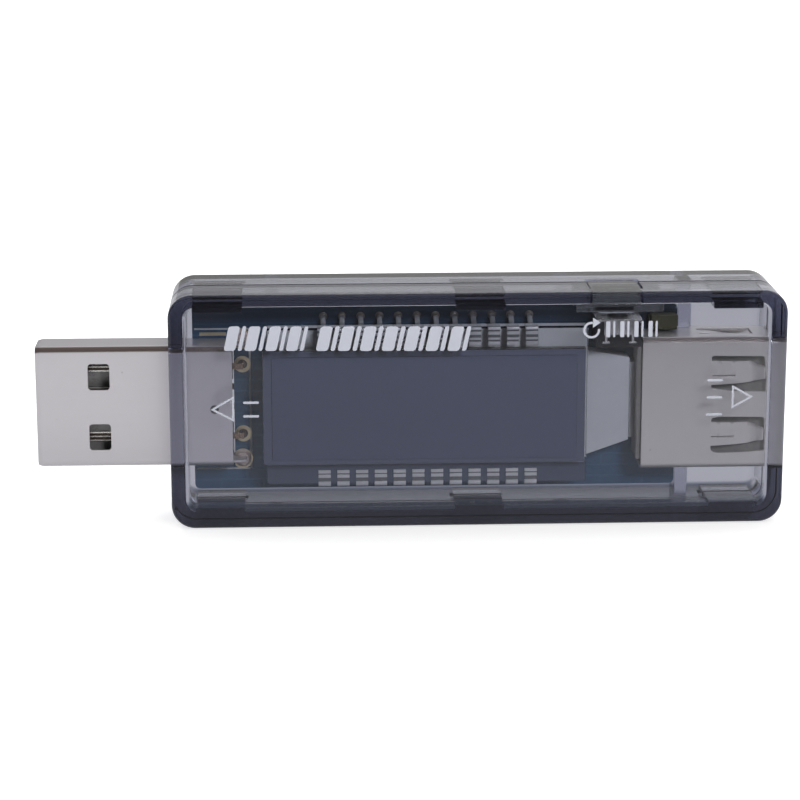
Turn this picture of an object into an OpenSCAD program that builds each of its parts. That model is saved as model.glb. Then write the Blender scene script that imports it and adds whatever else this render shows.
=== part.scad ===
// Inline USB power meter: a translucent two-piece case holding one circuit
// board with a USB-A plug at one end, a USB-A socket at the other, a
// twelve-plus-twelve pin segment display and one reset button.
//
// Frame: X runs along the plug axis (+X is the socket end), -Y is the display
// face, +Z is the button side. The origin is the centre of the long bottom face.

/* [Case] */
// Length of the case along the plug axis
case_l = 59.6; // [59.0:0.2:61.0]
// Height of the case from the bottom face to the button face
case_h = 23.1; // [22.9:0.1:24.0]
// Thickness of the case from the display face to the rear face
case_t = 11.0; // [10.8:0.1:11.6]
// Wall thickness of both shells
wall = 1.2; // [1.0:0.05:1.3]
// Corner radius of the case seen from the display side
corner_r = 2.3; // [1.8:0.1:3.0]
// Position of the parting line, measured from the mid plane towards the rear
part_y = -0.3; // [-0.6:0.1:0.2]
// Width of each snap hook
hook_w = 4.8; // [3.0:0.2:5.0]

/* [USB plug] */
// Width of the plug shell
plug_w = 12.0; // [11.9:0.05:12.1]
// Thickness of the plug shell
plug_t = 4.5; // [4.4:0.05:4.6]
// How far the plug stands out of the case
plug_out = 13.0; // [12.0:0.1:14.0]
// Thickness of the drawn sheet metal shells
sheet = 0.3; // [0.25:0.05:0.35]

/* [USB socket] */
// Outer width of the socket shell
socket_w = 13.15; // [13.0:0.05:13.3]
// Outer thickness of the socket shell
socket_t = 5.7; // [5.6:0.05:5.8]
// Length of the socket tongue in front of its base block
tongue_l = 9.6; // [9.0:0.1:9.8]

/* [Circuit board] */
// Board thickness
pcb_t = 1.0; // [0.8:0.1:1.2]
// Height of the board
pcb_h = 18.25; // [18.0:0.05:18.3]

/* [Display] */
// Number of clip pins along each long side
lcd_pins = 12; // [8:1:12]
// Spacing of the clip pins
lcd_pitch = 1.835; // [1.6:0.005:1.85]
// Width of one clip
clip_w = 1.25; // [0.8:0.05:1.3]

/* [Reset button] */
// Side of the square button cap
cap_s = 5.0; // [4.6:0.1:5.2]
// Gap between the cap and the opening around it
cap_gap = 0.1; // [0.08:0.01:0.12]

/* [Hidden] */

// Names ending in _x, _y or _z are places; a pair [from, to] is a range.
overlap = 0.01;                     // sinks one part into the next
sides = [-1, 1];
through_y = [-6, 6];                // cuts right through the case
through_z = [0, 25];

// case
end_x = case_l / 2;                 // outer face of the socket end
front_y = -case_t / 2;              // display face
rear_y = case_t / 2;
front_in_y = front_y + wall;        // inside of the front wall
rear_in_y = rear_y - wall;          // inside of the rear wall
roof_z = case_h - wall;             // inside of the button wall
wall_faces = [[roof_z, 1], [wall, -1]]; // inner face and its outward direction
opening_gap = 0.05;                 // around the plug and the socket
hook_x = [-25.1, 0.2, 25.1];
barb_y = [1.5, 2.3];

// connectors share one axis
axis_y = -0.4;
axis_z = 11.6;
plug_x0 = -end_x - plug_out;
plug_x1 = -23.8;
plug_r = 0.64;
plug_in_w = plug_w - 2 * sheet;
plug_in_t = plug_t - 2 * sheet;
socket_x0 = 16.05;
socket_r = 0.6;
socket_in_w = socket_w - 2 * sheet;
socket_in_t = socket_t - 2 * sheet;
tongue_x1 = end_x - 1.4;            // tip of the socket tongue
base_x1 = tongue_x1 - tongue_l;     // front of the socket base block
contact_t = 0.2;
contact_w = 1.0;
groove_half = 0.53;                 // half width of a contact groove
data_dz = 1.0;                      // offset of the data contacts
power_dz = 3.5;                     // offset of the power contacts
contact_z = [for (dz = [-power_dz, -data_dz, data_dz, power_dz]) axis_z + dz];

// circuit board
pcb_x = [-27.7, 19.9];
pcb_z0 = 2.5;
pcb_z1 = pcb_z0 + pcb_h;
pcb_y0 = 0.6;                       // front face
pcb_y1 = pcb_y0 + pcb_t;            // rear face
plug_notch_x = -23.7;               // end of the plug notch
socket_notch_x = 16.6;              // end of the socket notch
socket_notch_half = socket_w / 2 + 0.08;
plug_hole_x = -22.85;
tab_hole_x = -22.95;
tab_dz = 6.05;
socket_hole_x = 15.8;
lead_end_y = pcb_y1 + 0.5;          // tips of the through-hole leads
pad_t = 0.04;

// display stack, front to back
polariser_t = 0.2;
glass_t = 1.1;
front_polariser_y = -4.1;
front_glass_y = front_polariser_y + polariser_t;
rear_glass_y = front_glass_y + glass_t;
rear_polariser_y = rear_glass_y + glass_t;
glass_top_z = 19.16;                // edges of the rear glass
glass_bottom_z = 3.75;
lcd_mid_x = -4.82;                  // middle of the pin rows
clip_t = 0.2;
clip_dy = 0.12;                     // arm centre line from the face of the glass
clip_dz = 0.14;                     // clip back from the edge of the glass
leg_w = 0.5;
upper_hole_z = 19.8;                // a little above the upper clips
lower_hole_z = glass_bottom_z - clip_dz;

// backlight
light_y = [-1.45, 0.35];
led_lead_x = 15.27;
led_lead_dz = 2.25;

// reset button and switch
button_x = 13.35;
button_y = -1.5;
cap_z0 = 21.3;
cap_r = 0.6;
switch_x = [11.5, 15.9];
switch_y0 = -3.4;
switch_z0 = 17.3;
switch_z1 = 19.9;
switch_mid_x = (switch_x[0] + switch_x[1]) / 2;
cover_t = 0.2;
peg_x = [12.3, 15.1];
peg_z = 19.2;
terminal_x = [12.5, 15.2];
terminal_z = 17.075;
terminal_w = 0.6;
terminal_t = 0.25;
stem_z0 = 19.0;
stem_z1 = 20.55;
dome_z0 = 18.55;
dome_z1 = 18.97;
dome_r = 1.4;
dome_t = 0.08;
dome_steps = 6;

// ---------------------------------------------------------------- helpers
// range of the given half width about a centre
function span(centre, half) = [centre - half, centre + half];
function grow(range, margin) = [range[0] - margin, range[1] + margin];
// evenly spaced places about zero
function spread(count, pitch) = [for (i = [0:count - 1]) (i - (count - 1) / 2) * pitch];

pin_x = [for (x = spread(lcd_pins, lcd_pitch)) lcd_mid_x + x];
board_cut_y = grow([pcb_y0, pcb_y1], 1);

// block from three ranges; either end of a range may come first
module box(x, y, z)
    translate([min(x), min(y), min(z)])
        cube([max(x) - min(x), max(y) - min(y), max(z) - min(z)]);

// rounded rectangle about the origin
module rounded_rect(width, height, radius) {
    square([width - 2 * radius, height], center = true);
    square([width, height - 2 * radius], center = true);
    for (sx = sides, sy = sides)
        translate([sx * (width / 2 - radius), sy * (height / 2 - radius)])
            circle(radius, $fn = 40);
}

// block with its corners rounded as seen along Y
module slab(x, y, z, radius)
    translate([(x[0] + x[1]) / 2, y[1], (z[0] + z[1]) / 2]) rotate([90, 0, 0])
        linear_extrude(y[1] - y[0]) rounded_rect(x[1] - x[0], z[1] - z[0], radius);

// rounded bar on the connector axis, width along Z and thickness along Y
module axis_bar(x, width, thick, radius)
    translate([x[0], axis_y, axis_z]) rotate([90, 0, 90])
        linear_extrude(x[1] - x[0]) rounded_rect(thick, width, radius);

// sheet metal tube on the connector axis
module axis_tube(x, width, thick, radius) difference() {
    axis_bar(x, width, thick, radius);
    axis_bar(grow(x, 1), width - 2 * sheet, thick - 2 * sheet, radius - sheet);
}

// outline [y, z] swept along X
module sweep_x(x, points)
    translate([x[0], 0, 0]) rotate([90, 0, 90])
        linear_extrude(x[1] - x[0]) polygon(points);

// outline [x, z] swept along Y
module sweep_y(y, points)
    translate([0, y[1], 0]) rotate([90, 0, 0])
        linear_extrude(y[1] - y[0]) polygon(points);

// outline [x, y] swept along Z, centred on z
module sweep_z(z, width, points)
    translate([0, 0, z - width / 2]) linear_extrude(width) polygon(points);

// cylinder along Y
module bar_y(x, z, radius, y)
    translate([x, y[1], z]) rotate([90, 0, 0])
        cylinder(h = y[1] - y[0], r = radius, $fn = 32);

// outline of a strip of even thickness along a bent path, with mitred bends
function normal(from, to) = let (run = to - from) [-run[1], run[0]] / norm(run);
function mitre(path, i) =
    i == 0 ? normal(path[0], path[1]) :
    i == len(path) - 1 ? normal(path[i - 1], path[i]) :
    let (total = normal(path[i - 1], path[i]) + normal(path[i], path[i + 1]))
        total * (2 / (total * total));
function strip(path, thick) = concat(
    [for (i = [0:len(path) - 1]) path[i] + mitre(path, i) * thick / 2],
    [for (i = [len(path) - 1:-1:0]) path[i] - mitre(path, i) * thick / 2]);

// ------------------------------------------------------------------- case
// square rounded column of the button cap, or of its opening
module cap_column(z, gap = 0)
    translate([button_x, button_y, z[0]]) linear_extrude(z[1] - z[0])
        rounded_rect(cap_s + 2 * gap, cap_s + 2 * gap, cap_r + gap);

module connector_opening(x, width, thick, radius)
    axis_bar(x, width + 2 * opening_gap, thick + 2 * opening_gap, radius + opening_gap);

module case_half(y, cavity_y) difference() {
    slab(span(0, end_x), y, [0, case_h], corner_r);
    slab(span(0, end_x - wall), cavity_y, [wall, roof_z], corner_r - wall);
    connector_opening([-end_x - 1, -end_x + wall + 1], plug_w, plug_t, plug_r);
    connector_opening([end_x - wall - 1, end_x + 1], socket_w, socket_t, socket_r);
    cap_column([roof_z - 1, case_h + 1], cap_gap);
}

// snap hook: root along the wall, blade past the parting line, and barb
module hook(x, inner_z, face_z, side) {
    hook_span = span(x, hook_w / 2);
    box(hook_span, [front_in_y - overlap, part_y], [inner_z, face_z + side * overlap]);
    box(hook_span, [part_y - overlap, barb_y[1]], [inner_z, face_z - side * 0.1]);
    box(hook_span, barb_y, [inner_z + side * 0.25, face_z + side * 0.35]);
}

module front_shell() color([0.20, 0.21, 0.24, 0.45]) union() {
    case_half([front_y, part_y], [front_in_y, part_y + 1]);
    for (x = hook_x) {
        hook(x, 21.25, roof_z, 1);
        hook(x, 1.85, wall, -1);
    }
}

module rear_shell() color([0.20, 0.21, 0.24, 0.45]) difference() {
    union() {
        case_half([part_y, rear_y], [part_y - 1, rear_in_y]);
        // ribs beside the socket, between the end of the board and the end wall
        for (face = wall_faces)
            box([20.05, 21.35], [1.2, rear_in_y + overlap],
                [axis_z + face[1] * socket_notch_half, face[0] + face[1] * overlap]);
        // posts that carry the board
        for (x = [-20.6, 8.2], z = [[pcb_z0 + 0.1, pcb_z0 + 1.7], [pcb_z1 - 1.9, pcb_z1 - 0.1]])
            box([x, x + 1.4], [pcb_y1, rear_in_y + overlap], z);
    }
    // pockets for the barbs of the hooks
    for (x = hook_x, face = wall_faces)
        box(span(x, hook_w / 2 + 0.2), [barb_y[0] - 0.1, barb_y[1] + 0.15],
            [face[0] - face[1] * 0.2, face[0] + face[1] * 0.5]);
}

// ---------------------------------------------------------- reset button
// square cap, wide retaining flange under the case wall, tapered plunger
module reset_button() color([0.22, 0.23, 0.26, 0.6]) {
    cap_column([cap_z0, case_h - 0.1]);
    box([9.4, 17.9], [-4.15, 0.45], [20.95, 21.75]);
    sweep_y([-3.0, 0.0], [[11.35, 21.0], [11.75, stem_z1 + 0.02],
                          [15.15, stem_z1 + 0.02], [15.55, 21.0]]);
}

// upright cylinder on the switch axis
module switch_round(z, height, radius)
    translate([switch_mid_x, button_y, z]) cylinder(h = height, r = radius, $fn = 40);

module switch_body() color("#1b1b1d") {
    difference() {
        box(switch_x, [switch_y0, pcb_y0], [switch_z0, switch_z1]);
        switch_round(18.5, 3, 1.6);
    }
    // locating pegs in the board
    for (x = peg_x) bar_y(x, peg_z, 0.35, [pcb_y0 - overlap, pcb_y1 + 0.3]);
}

module switch_cover() {
    cover_y = switch_y0 - cover_t;
    lug_y = [cover_y, switch_y0 - 0.05];
    color("silver") difference() {
        union() {
            box(switch_x, [cover_y, pcb_y0 - 0.1], [switch_z1, switch_z1 + cover_t]);
            box(grow(switch_x, -0.7), [cover_y, switch_y0], [18.6, switch_z1 + overlap]);
            // two T-shaped lugs over the front of the body
            for (x = [12.4, 15.0]) {
                box(span(x, 0.12), lug_y, [17.8, 18.7]);
                box(span(x, 0.35), lug_y, [17.74, 17.94]);
            }
        }
        switch_round(18, 4, 1.05);
    }
}

// plunger with a wider foot
module switch_stem() color("#2a2a2c") {
    switch_round(stem_z0, 0.5, 1.35);
    switch_round(stem_z0, stem_z1 - stem_z0, 0.95);
}

// point on a parabolic arc falling from crown_z towards the rim
function dome_point(i, crown_z) = let (part = i / dome_steps)
    [dome_r * part, crown_z - (dome_z1 - dome_z0 - dome_t) * pow(part, 2)];

// domed spring disc under the stem
module switch_dome() color("silver") translate([switch_mid_x, button_y, 0])
    rotate_extrude($fn = 40) polygon(concat(
        [for (i = [0:dome_steps]) dome_point(i, dome_z1)],
        [for (i = [dome_steps:-1:0]) dome_point(i, dome_z1 - dome_t)]));

// bent leads: upright part below the body, then back through the board
module switch_terminals() color("silver") for (x = terminal_x) {
    lead_x = span(x, terminal_w / 2);
    lead_z = span(terminal_z, terminal_t / 2);
    box(lead_x, [-1.75, -1.5], [lead_z[0], switch_z0]);
    box(lead_x, [-1.75, lead_end_y], lead_z);
}

// ----------------------------------------------------------------- board
module board_hole(x, z, radius) bar_y(x, z, radius, board_cut_y);

module pcb() color("#1d3a63") difference() {
    slab(pcb_x, [pcb_y0, pcb_y1], [pcb_z0, pcb_z1], 0.5);
    // notches the two connectors sink into
    box([pcb_x[0] - 1, plug_notch_x], board_cut_y, span(axis_z, plug_w / 2 + 0.1));
    box([socket_notch_x, pcb_x[1] + 1], board_cut_y, span(axis_z, socket_notch_half));
    for (x = pin_x, z = [upper_hole_z, lower_hole_z]) board_hole(x, z, 0.42);
    for (side = sides) {
        board_hole(plug_hole_x, axis_z + side * power_dz, 0.42);
        board_hole(tab_hole_x, axis_z + side * tab_dz, 0.62);
        board_hole(led_lead_x, axis_z + side * led_lead_dz, 0.3);
    }
    for (z = contact_z) board_hole(socket_hole_x, z, 0.38);
    for (x = peg_x) board_hole(x, peg_z, 0.42);
    for (x = terminal_x) board_hole(x, terminal_z, 0.42);
}

module ring(x, z, outer_r, inner_r, y) difference() {
    bar_y(x, z, outer_r, y);
    bar_y(x, z, inner_r, grow(y, 1));
}

// trims whatever overhangs the plug notch
module plug_notch_trim() box([-25, plug_notch_x + 0.02], [-1, 1], span(axis_z, 8));

// gold-plated lands that stay visible on the board
module pcb_pads() {
    front_land_y = [pcb_y0 - pad_t, pcb_y0];
    rear_land_y = [pcb_y1, pcb_y1 + pad_t];
    color("#c9a04a") for (side = sides) {
        for (y = [front_land_y, rear_land_y])
            ring(plug_hole_x, axis_z + side * power_dz, 0.82, 0.46, y);
        difference() {
            ring(tab_hole_x, axis_z + side * tab_dz, 1.0, 0.66, front_land_y);
            plug_notch_trim();
        }
        // tinned strips beside the notch
        box([-27.0, -24.4], front_land_y, span(axis_z + side * 6.55, 0.16));
        // lands for the data leads, on the rear
        box([-23.4, -22.1], rear_land_y, span(axis_z + side * data_dz, 0.4));
    }
}

// cone of solder along Y; turn is 90 to point forwards, -90 to point back
module solder_cone(x, y, z, turn, height, base_r, tip_r)
    translate([x, y, z]) rotate([turn, 0, 0])
        cylinder(h = height, r1 = base_r, r2 = tip_r, $fn = 24);

// room for a flat lead, lead_x by lead_z across, in its solder
module lead_slot(x, z, lead_x, lead_z)
    box(span(x, lead_x / 2 + 0.01), [-1, 3], span(z, lead_z / 2 + 0.01));

module front_fillet(x, z, lead_x, lead_z) difference() {
    solder_cone(x, pcb_y0, z, 90, 0.3, 0.5, 0.34);
    lead_slot(x, z, lead_x, lead_z);
}

module rear_fillet(x, z, lead_x, lead_z) difference() {
    solder_cone(x, pcb_y1, z, -90, 0.4, 0.62, 0.36);
    lead_slot(x, z, lead_x, lead_z);
}

module solder_joints() color("silver") {
    for (x = pin_x) {
        front_fillet(x, upper_hole_z, leg_w, clip_t);
        for (z = [upper_hole_z, lower_hole_z]) rear_fillet(x, z, leg_w, clip_t);
    }
    for (z = contact_z) rear_fillet(socket_hole_x, z, 0.25, 0.5);
    for (x = terminal_x) rear_fillet(x, terminal_z, terminal_w, terminal_t);
    // heavier joints at the tabs of the plug
    for (side = sides) difference() {
        solder_cone(tab_hole_x, pcb_y0 - pad_t, axis_z + side * tab_dz, 90, 0.5, 0.85, 0.5);
        lead_slot(tab_hole_x, axis_z + side * 5.85, 0.9, 0.32);
        plug_notch_trim();
    }
}

// -------------------------------------------------------------- USB plug
module usb_plug_shell() color("silver") difference() {
    union() {
        axis_tube([plug_x0, plug_x1], plug_w, plug_t, plug_r);
        // tabs that run past the inner end and back into the board
        for (side = sides)
            sweep_z(axis_z + side * (plug_w - sheet) / 2, sheet - 0.02,
                [[plug_x1 - 0.5, axis_y - 1.0], [tab_hole_x + 0.4, axis_y - 0.6],
                 [tab_hole_x + 0.4, lead_end_y - 0.2], [tab_hole_x - 0.4, lead_end_y - 0.2],
                 [tab_hole_x - 0.4, axis_y + 0.6], [plug_x1 - 0.5, axis_y + 0.6]]);
    }
    // latch windows, front and rear
    for (side = sides)
        slab([-37.75, -35.65], through_y, span(axis_z + side * 3.0, 1.3), 0.3);
    // round hole in the front, inside the case
    bar_y(-25.55, axis_z - 0.25, 0.42, [-6, -1]);
    // relief in the rear wall for the data leads
    box([-25.3, plug_x1 + 1], [1, 3], span(axis_z, 1.8));
}

// tongue in the rear half of the plug, and the block at its inner end
module usb_plug_insulator() color("#202022") difference() {
    axis_bar([plug_x0 + 0.6, plug_x1 - 0.15], plug_in_w - 0.16, plug_in_t - 0.1,
             plug_r - sheet - 0.02);
    box([plug_x0, -30.6], [-6, axis_y + 0.2], through_z);
    // grooves for the contacts, and slots for the data leads
    for (z = contact_z)
        box([-31, plug_x1 + 1], [axis_y - 0.03, axis_y + 0.24], span(z, groove_half));
    for (side = sides)
        box([-24.77, -23], [axis_y, 3], span(axis_z + side * data_dz, 0.33));
}

module usb_plug_contacts() {
    path_y = axis_y + contact_t / 2;
    land_y = pcb_y1 + 0.16;
    lead_w = 0.6;
    color("#d8b25c") for (side = sides) {
        power_z = axis_z + side * power_dz;
        data_z = axis_z + side * data_dz;
        // power contacts, longer at the tip, ending in the holes of the board
        sweep_z(power_z, contact_w, strip([[-41.0, path_y], [-24.2, path_y]], contact_t));
        sweep_z(power_z, lead_w, strip([[-24.3, path_y], [plug_hole_x, path_y],
                                        [plug_hole_x, lead_end_y - 0.1]], contact_t));
        // data contacts, ending on the rear of the board
        sweep_z(data_z, contact_w, strip([[-40.0, path_y], [-24.8, path_y]], contact_t));
        sweep_z(data_z, lead_w, strip([[-24.9, path_y], [-24.65, path_y],
                                       [-24.65, land_y], [-22.4, land_y]], contact_t));
    }
}

// ------------------------------------------------------------ USB socket
module usb_socket_shell() {
    tongue_x = [22.8, 27.9];        // slots in the front and rear faces
    spring_x = [21.8, 27.0];        // slots in the sides
    color("silver") difference() {
        union() {
            axis_tube([socket_x0, end_x], socket_w, socket_t, socket_r);
            // tabs soldered to the rear of the board
            for (side = sides)
                box([17.4, 19.4], [pcb_y1 + 0.02, pcb_y1 + 0.32],
                    span(axis_z + side * (socket_w / 2 + 0.65), 0.8));
        }
        // room for the board behind the inner end
        box([socket_x0 - 1, socket_notch_x + 0.1], [pcb_y0 - 0.05, 4], through_z);
        // slots that free two contact tongues in the front and rear faces
        for (side = sides) {
            sweep_y(through_y, [[tongue_x[0], axis_z + side * 4.15],
                                [tongue_x[1], axis_z + side * 3.7],
                                [tongue_x[1], axis_z + side * 4.6],
                                [tongue_x[0], axis_z + side * 4.35]]);
            box(tongue_x, through_y, span(axis_z + side * 1.7, 0.25));
            box([27.75, 27.95], through_y, span(axis_z + side * 2.95, 1.45));
        }
        // slots for the side springs
        for (side = sides) box(spring_x, span(axis_y + side, 0.15), through_z);
        box([26.8, spring_x[1]], span(axis_y, 1.1), through_z);
    }
}

// base block with the contact tongue
module usb_socket_insulator() color("#202022") difference() {
    union() {
        axis_bar([socket_x0 + 0.3, base_x1], socket_in_w - 0.2, socket_in_t - 0.1,
                 socket_r - sheet - 0.02);
        box([15.58, socket_x0 + 0.4], [axis_y - socket_in_t / 2 + 0.05, pcb_y0 - 0.05],
            span(axis_z, 5.6));
        box([base_x1 - overlap, tongue_x1], [axis_y - 1.85, axis_y - 0.05],
            span(axis_z, 5.55));
    }
    // room for the board
    box([socket_x0 - 1, socket_notch_x + 0.1], [pcb_y0 - 0.04, 4], through_z);
    // grooves for the contacts, and slots for their leads
    for (z = contact_z) {
        box([15, base_x1 + 1], [axis_y - 0.06, axis_y + 0.2], span(z, groove_half));
        box(span(socket_hole_x, 0.15), [axis_y, 1], span(z, 0.28));
    }
}

// sprung contact on the tongue, and its narrower lead into the board
module usb_socket_contacts() {
    path_y = axis_y + 0.06;
    color("#d8b25c") for (z = contact_z) {
        sweep_z(z, contact_w, strip([[16.4, path_y], [23.6, path_y], [25.3, axis_y + 0.6],
                                     [26.9, axis_y + 0.1], [27.7, axis_y + 0.1]], contact_t));
        sweep_z(z, 0.5, strip([[16.5, path_y], [socket_hole_x, path_y],
                               [socket_hole_x, lead_end_y]], contact_t));
    }
}

// --------------------------------------------------------------- display
module lcd_front_polariser() color("#4e5262")
    box([-19.95, 9.6], [front_polariser_y, front_glass_y], [6.55, 16.7]);
module lcd_front_glass() color([0.75, 0.85, 0.85, 0.35])
    box([-20.85, 10.45], [front_glass_y, rear_glass_y], [6.0, 17.35]);
module lcd_rear_glass() color([0.75, 0.85, 0.85, 0.35])
    box([-20.5, 10.75], [rear_glass_y, rear_polariser_y], [glass_bottom_z, glass_top_z]);
module lcd_rear_polariser() color("#5b5f66")
    box([-20.1, 9.75], [rear_polariser_y, rear_polariser_y + polariser_t], [6.4, 16.9]);

// row of folded strip clips gripping one edge of the rear glass, with legs into
// the board; side is +1 above the display and -1 below it, arm is the length of
// the front arm, grooves lists spans across it measured from the edge
module clip_row(side, edge_z, hole_z, arm, grooves) {
    back_z = edge_z + side * clip_dz;
    front_arm_y = rear_glass_y - clip_dy;
    rear_arm_y = rear_polariser_y + clip_dy;
    for (x = pin_x) {
        difference() {
            sweep_x(span(x, clip_w / 2),
                strip([[rear_arm_y, edge_z - side * 0.9], [rear_arm_y, back_z],
                       [front_arm_y, back_z], [front_arm_y, edge_z - side * arm]], clip_t));
            for (groove = grooves)
                box(span(x, clip_w), [rear_glass_y - 0.5, front_arm_y],
                    [edge_z - side * groove[0], edge_z - side * groove[1]]);
        }
        sweep_x(span(x, leg_w / 2),
            strip([[rear_polariser_y + 0.05, back_z], [-1.0, back_z],
                   [0.1, hole_z], [lead_end_y, hole_z]], clip_t));
    }
}

module lcd_pins_upper() color("silver")
    clip_row(1, glass_top_z, upper_hole_z, 1.75, [[0.08, 0.26], [0.56, 0.86], [1.06, 1.26]]);
module lcd_pins_lower() color("silver")
    clip_row(-1, glass_bottom_z, lower_hole_z, 1.45, [[0.30, 0.68], [1.0, 1.12]]);

// plate behind the display, narrowing towards the light bar
module backlight_guide() color("#e6e8ea")
    sweep_y(light_y, [[-20.4, 5.95], [10.85, 5.95], [10.85, 6.1], [15.0, 7.55],
                      [15.0, 15.85], [10.85, 16.65], [10.85, 19.0], [-20.4, 19.0]]);

// narrow light bar at the end of the guide, with two leads into the board
module backlight_led() color("#f3efd8") {
    box([15.04, 15.5], light_y, span(axis_z, 3.8));
    for (side = sides)
        box(span(led_lead_x, 0.1), [light_y[1] - overlap, lead_end_y - 0.1],
            span(axis_z + side * led_lead_dz, 0.15));
}

// --------------------------------------------- components on the rear side
lead_t = 0.14;

// gull-wing lead as [distance from the body, height above the board]
function wing(height, reach) =
    [[0, height], [reach * 0.35, height], [reach * 0.55, 0.08], [reach, 0.08]];

// moulded package with a row of leads along its upper and lower edges
module package(x, z, size_x, size_z, height, leads, pitch, lead_w, reach)
    translate([x, pcb_y1, z]) {
        box(span(0, size_x / 2), [0.1, height], span(0, size_z / 2));
        for (side = sides, lead_x = spread(leads, pitch))
            sweep_x(span(lead_x, lead_w / 2), strip(
                [for (q = wing(height / 2, reach)) [q[1], side * (size_z / 2 + q[0])]], lead_t));
    }

// square package with leads on all four sides
module microcontroller() {
    x = -6.2;
    size = 10;
    height = 1.5;
    leads = 11;
    pitch = 0.8;
    lead_w = 0.34;
    reach = 1.0;
    color("#222224") {
        package(x, axis_z, size, size, height, leads, pitch, lead_w, reach);
        translate([x, pcb_y1, axis_z]) for (side = sides, lead_z = spread(leads, pitch))
            sweep_z(lead_z, lead_w, strip(
                [for (q = wing(height / 2, reach)) [side * (size / 2 + q[0]), q[1]]], lead_t));
    }
}

module memory_chip() color("#222224")
    package(6.0, 14.4, 4.9, 3.9, 1.5, 4, 1.27, 0.42, 1.0);
module current_sense_amplifier() color("#222224")
    package(-15.6, 14.6, 2.9, 1.6, 1.1, 3, 0.95, 0.4, 0.6);
module voltage_regulator() color("#222224")
    package(5.6, 7.4, 4.5, 2.5, 1.5, 3, 1.5, 0.45, 0.9);

// flat body between two end terminals
module shunt_resistor() {
    body_x = [-19.0, -13.4];
    z = [6.2, 9.4];
    color("#2b2b2b") {
        box(body_x, [pcb_y1 + 0.04, pcb_y1 + 0.64], z);
        for (x = [[body_x[0] - 0.7, body_x[0]], [body_x[1], body_x[1] + 0.7]])
            box(x, [pcb_y1, pcb_y1 + 0.68], z);
    }
}

// rounded can on a thin base
module crystal() {
    x = [11.0, 13.2];
    z = [9.9, 13.3];
    color("silver") {
        slab(x, [pcb_y1 + 0.1, pcb_y1 + 0.8], z, 0.3);
        box(grow(x, 0.1), [pcb_y1, pcb_y1 + 0.12], grow(z, 0.1));
    }
}

// end-terminated chips of one height; each place is [x, z, 1 if upright]
module chips(places, height) {
    half_l = 0.8;
    half_w = 0.4;
    body_half = half_l - 0.32;      // less the end terminal
    for (place = places)
        translate([place[0], pcb_y1, place[1]]) rotate([0, 90 * place[2], 0]) {
            for (side = sides)
                box([side * half_l, side * body_half], [0, height], span(0, half_w));
            box(span(0, body_half), [0.03, height - 0.03], span(0, half_w - 0.02));
        }
}

module chip_capacitors() color("#a98f6a")
    chips([[-15.8, 11.2, 0], [1.2, 16.4, 1], [1.2, 7.0, 1], [9.9, 15.2, 1],
           [9.4, 7.4, 1], [12.0, 7.6, 0], [-18.9, 13.2, 1], [-2.6, 18.35, 0]], 0.75);
module chip_resistors() color("#1e1e20")
    chips([[-18.6, 11.2, 0], [-15.6, 17.4, 0], [-18.2, 17.4, 0], [-12.8, 15.2, 1],
           [2.6, 11.6, 0], [5.2, 11.0, 0], [8.0, 11.0, 0], [-10.4, 18.3, 0],
           [-2.4, 5.2, 0], [-8.8, 5.2, 0]], 0.45);

// moulded capacitor on the front of the board, beside the switch
module tantalum_capacitor() color("#3d3d2a") {
    box([17.15, 19.65], [-0.95, pcb_y0 - 0.08], [18.5, 19.9]);
    for (x = [[16.95, 17.15], [19.65, 19.85]]) box(x, [-0.3, pcb_y0], [18.65, 19.75]);
}

front_shell();
rear_shell();
reset_button();
switch_body();
switch_cover();
switch_stem();
switch_dome();
switch_terminals();
pcb();
pcb_pads();
solder_joints();
usb_plug_shell();
usb_plug_insulator();
usb_plug_contacts();
usb_socket_shell();
usb_socket_insulator();
usb_socket_contacts();
lcd_front_glass();
lcd_rear_glass();
lcd_front_polariser();
lcd_rear_polariser();
lcd_pins_upper();
lcd_pins_lower();
backlight_guide();
backlight_led();
microcontroller();
memory_chip();
current_sense_amplifier();
voltage_regulator();
shunt_resistor();
crystal();
chip_capacitors();
chip_resistors();
tantalum_capacitor();
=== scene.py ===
"""Inline USB power meter in a smoky clear case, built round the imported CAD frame.

The meter lies along X, with its plug at -X and its socket at +X, and rests on Z = 0.
The display faces -Y, the front, and the reset button is on top.
Geometry is in millimetres and becomes metres through MM. Positions inside shaders,
and the floor, the lights and their sizes, are in metres.
"""
import math

import bmesh
import bpy
import numpy as np
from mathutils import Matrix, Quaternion, Vector

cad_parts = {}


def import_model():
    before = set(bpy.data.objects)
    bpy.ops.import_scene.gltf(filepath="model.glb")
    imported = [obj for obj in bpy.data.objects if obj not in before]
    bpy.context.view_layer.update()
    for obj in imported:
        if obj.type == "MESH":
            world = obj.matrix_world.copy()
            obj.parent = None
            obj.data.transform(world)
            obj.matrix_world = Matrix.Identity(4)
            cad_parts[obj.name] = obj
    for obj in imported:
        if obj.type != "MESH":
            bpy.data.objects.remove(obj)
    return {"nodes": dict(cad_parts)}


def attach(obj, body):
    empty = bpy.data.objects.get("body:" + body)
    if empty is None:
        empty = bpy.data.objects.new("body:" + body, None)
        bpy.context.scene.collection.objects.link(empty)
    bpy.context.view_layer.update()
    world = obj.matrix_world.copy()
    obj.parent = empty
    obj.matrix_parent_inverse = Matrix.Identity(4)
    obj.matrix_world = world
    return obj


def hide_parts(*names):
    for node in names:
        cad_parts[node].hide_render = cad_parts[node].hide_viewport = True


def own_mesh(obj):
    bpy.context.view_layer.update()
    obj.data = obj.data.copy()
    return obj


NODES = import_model()["nodes"]
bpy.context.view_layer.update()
MM = 0.001

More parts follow.
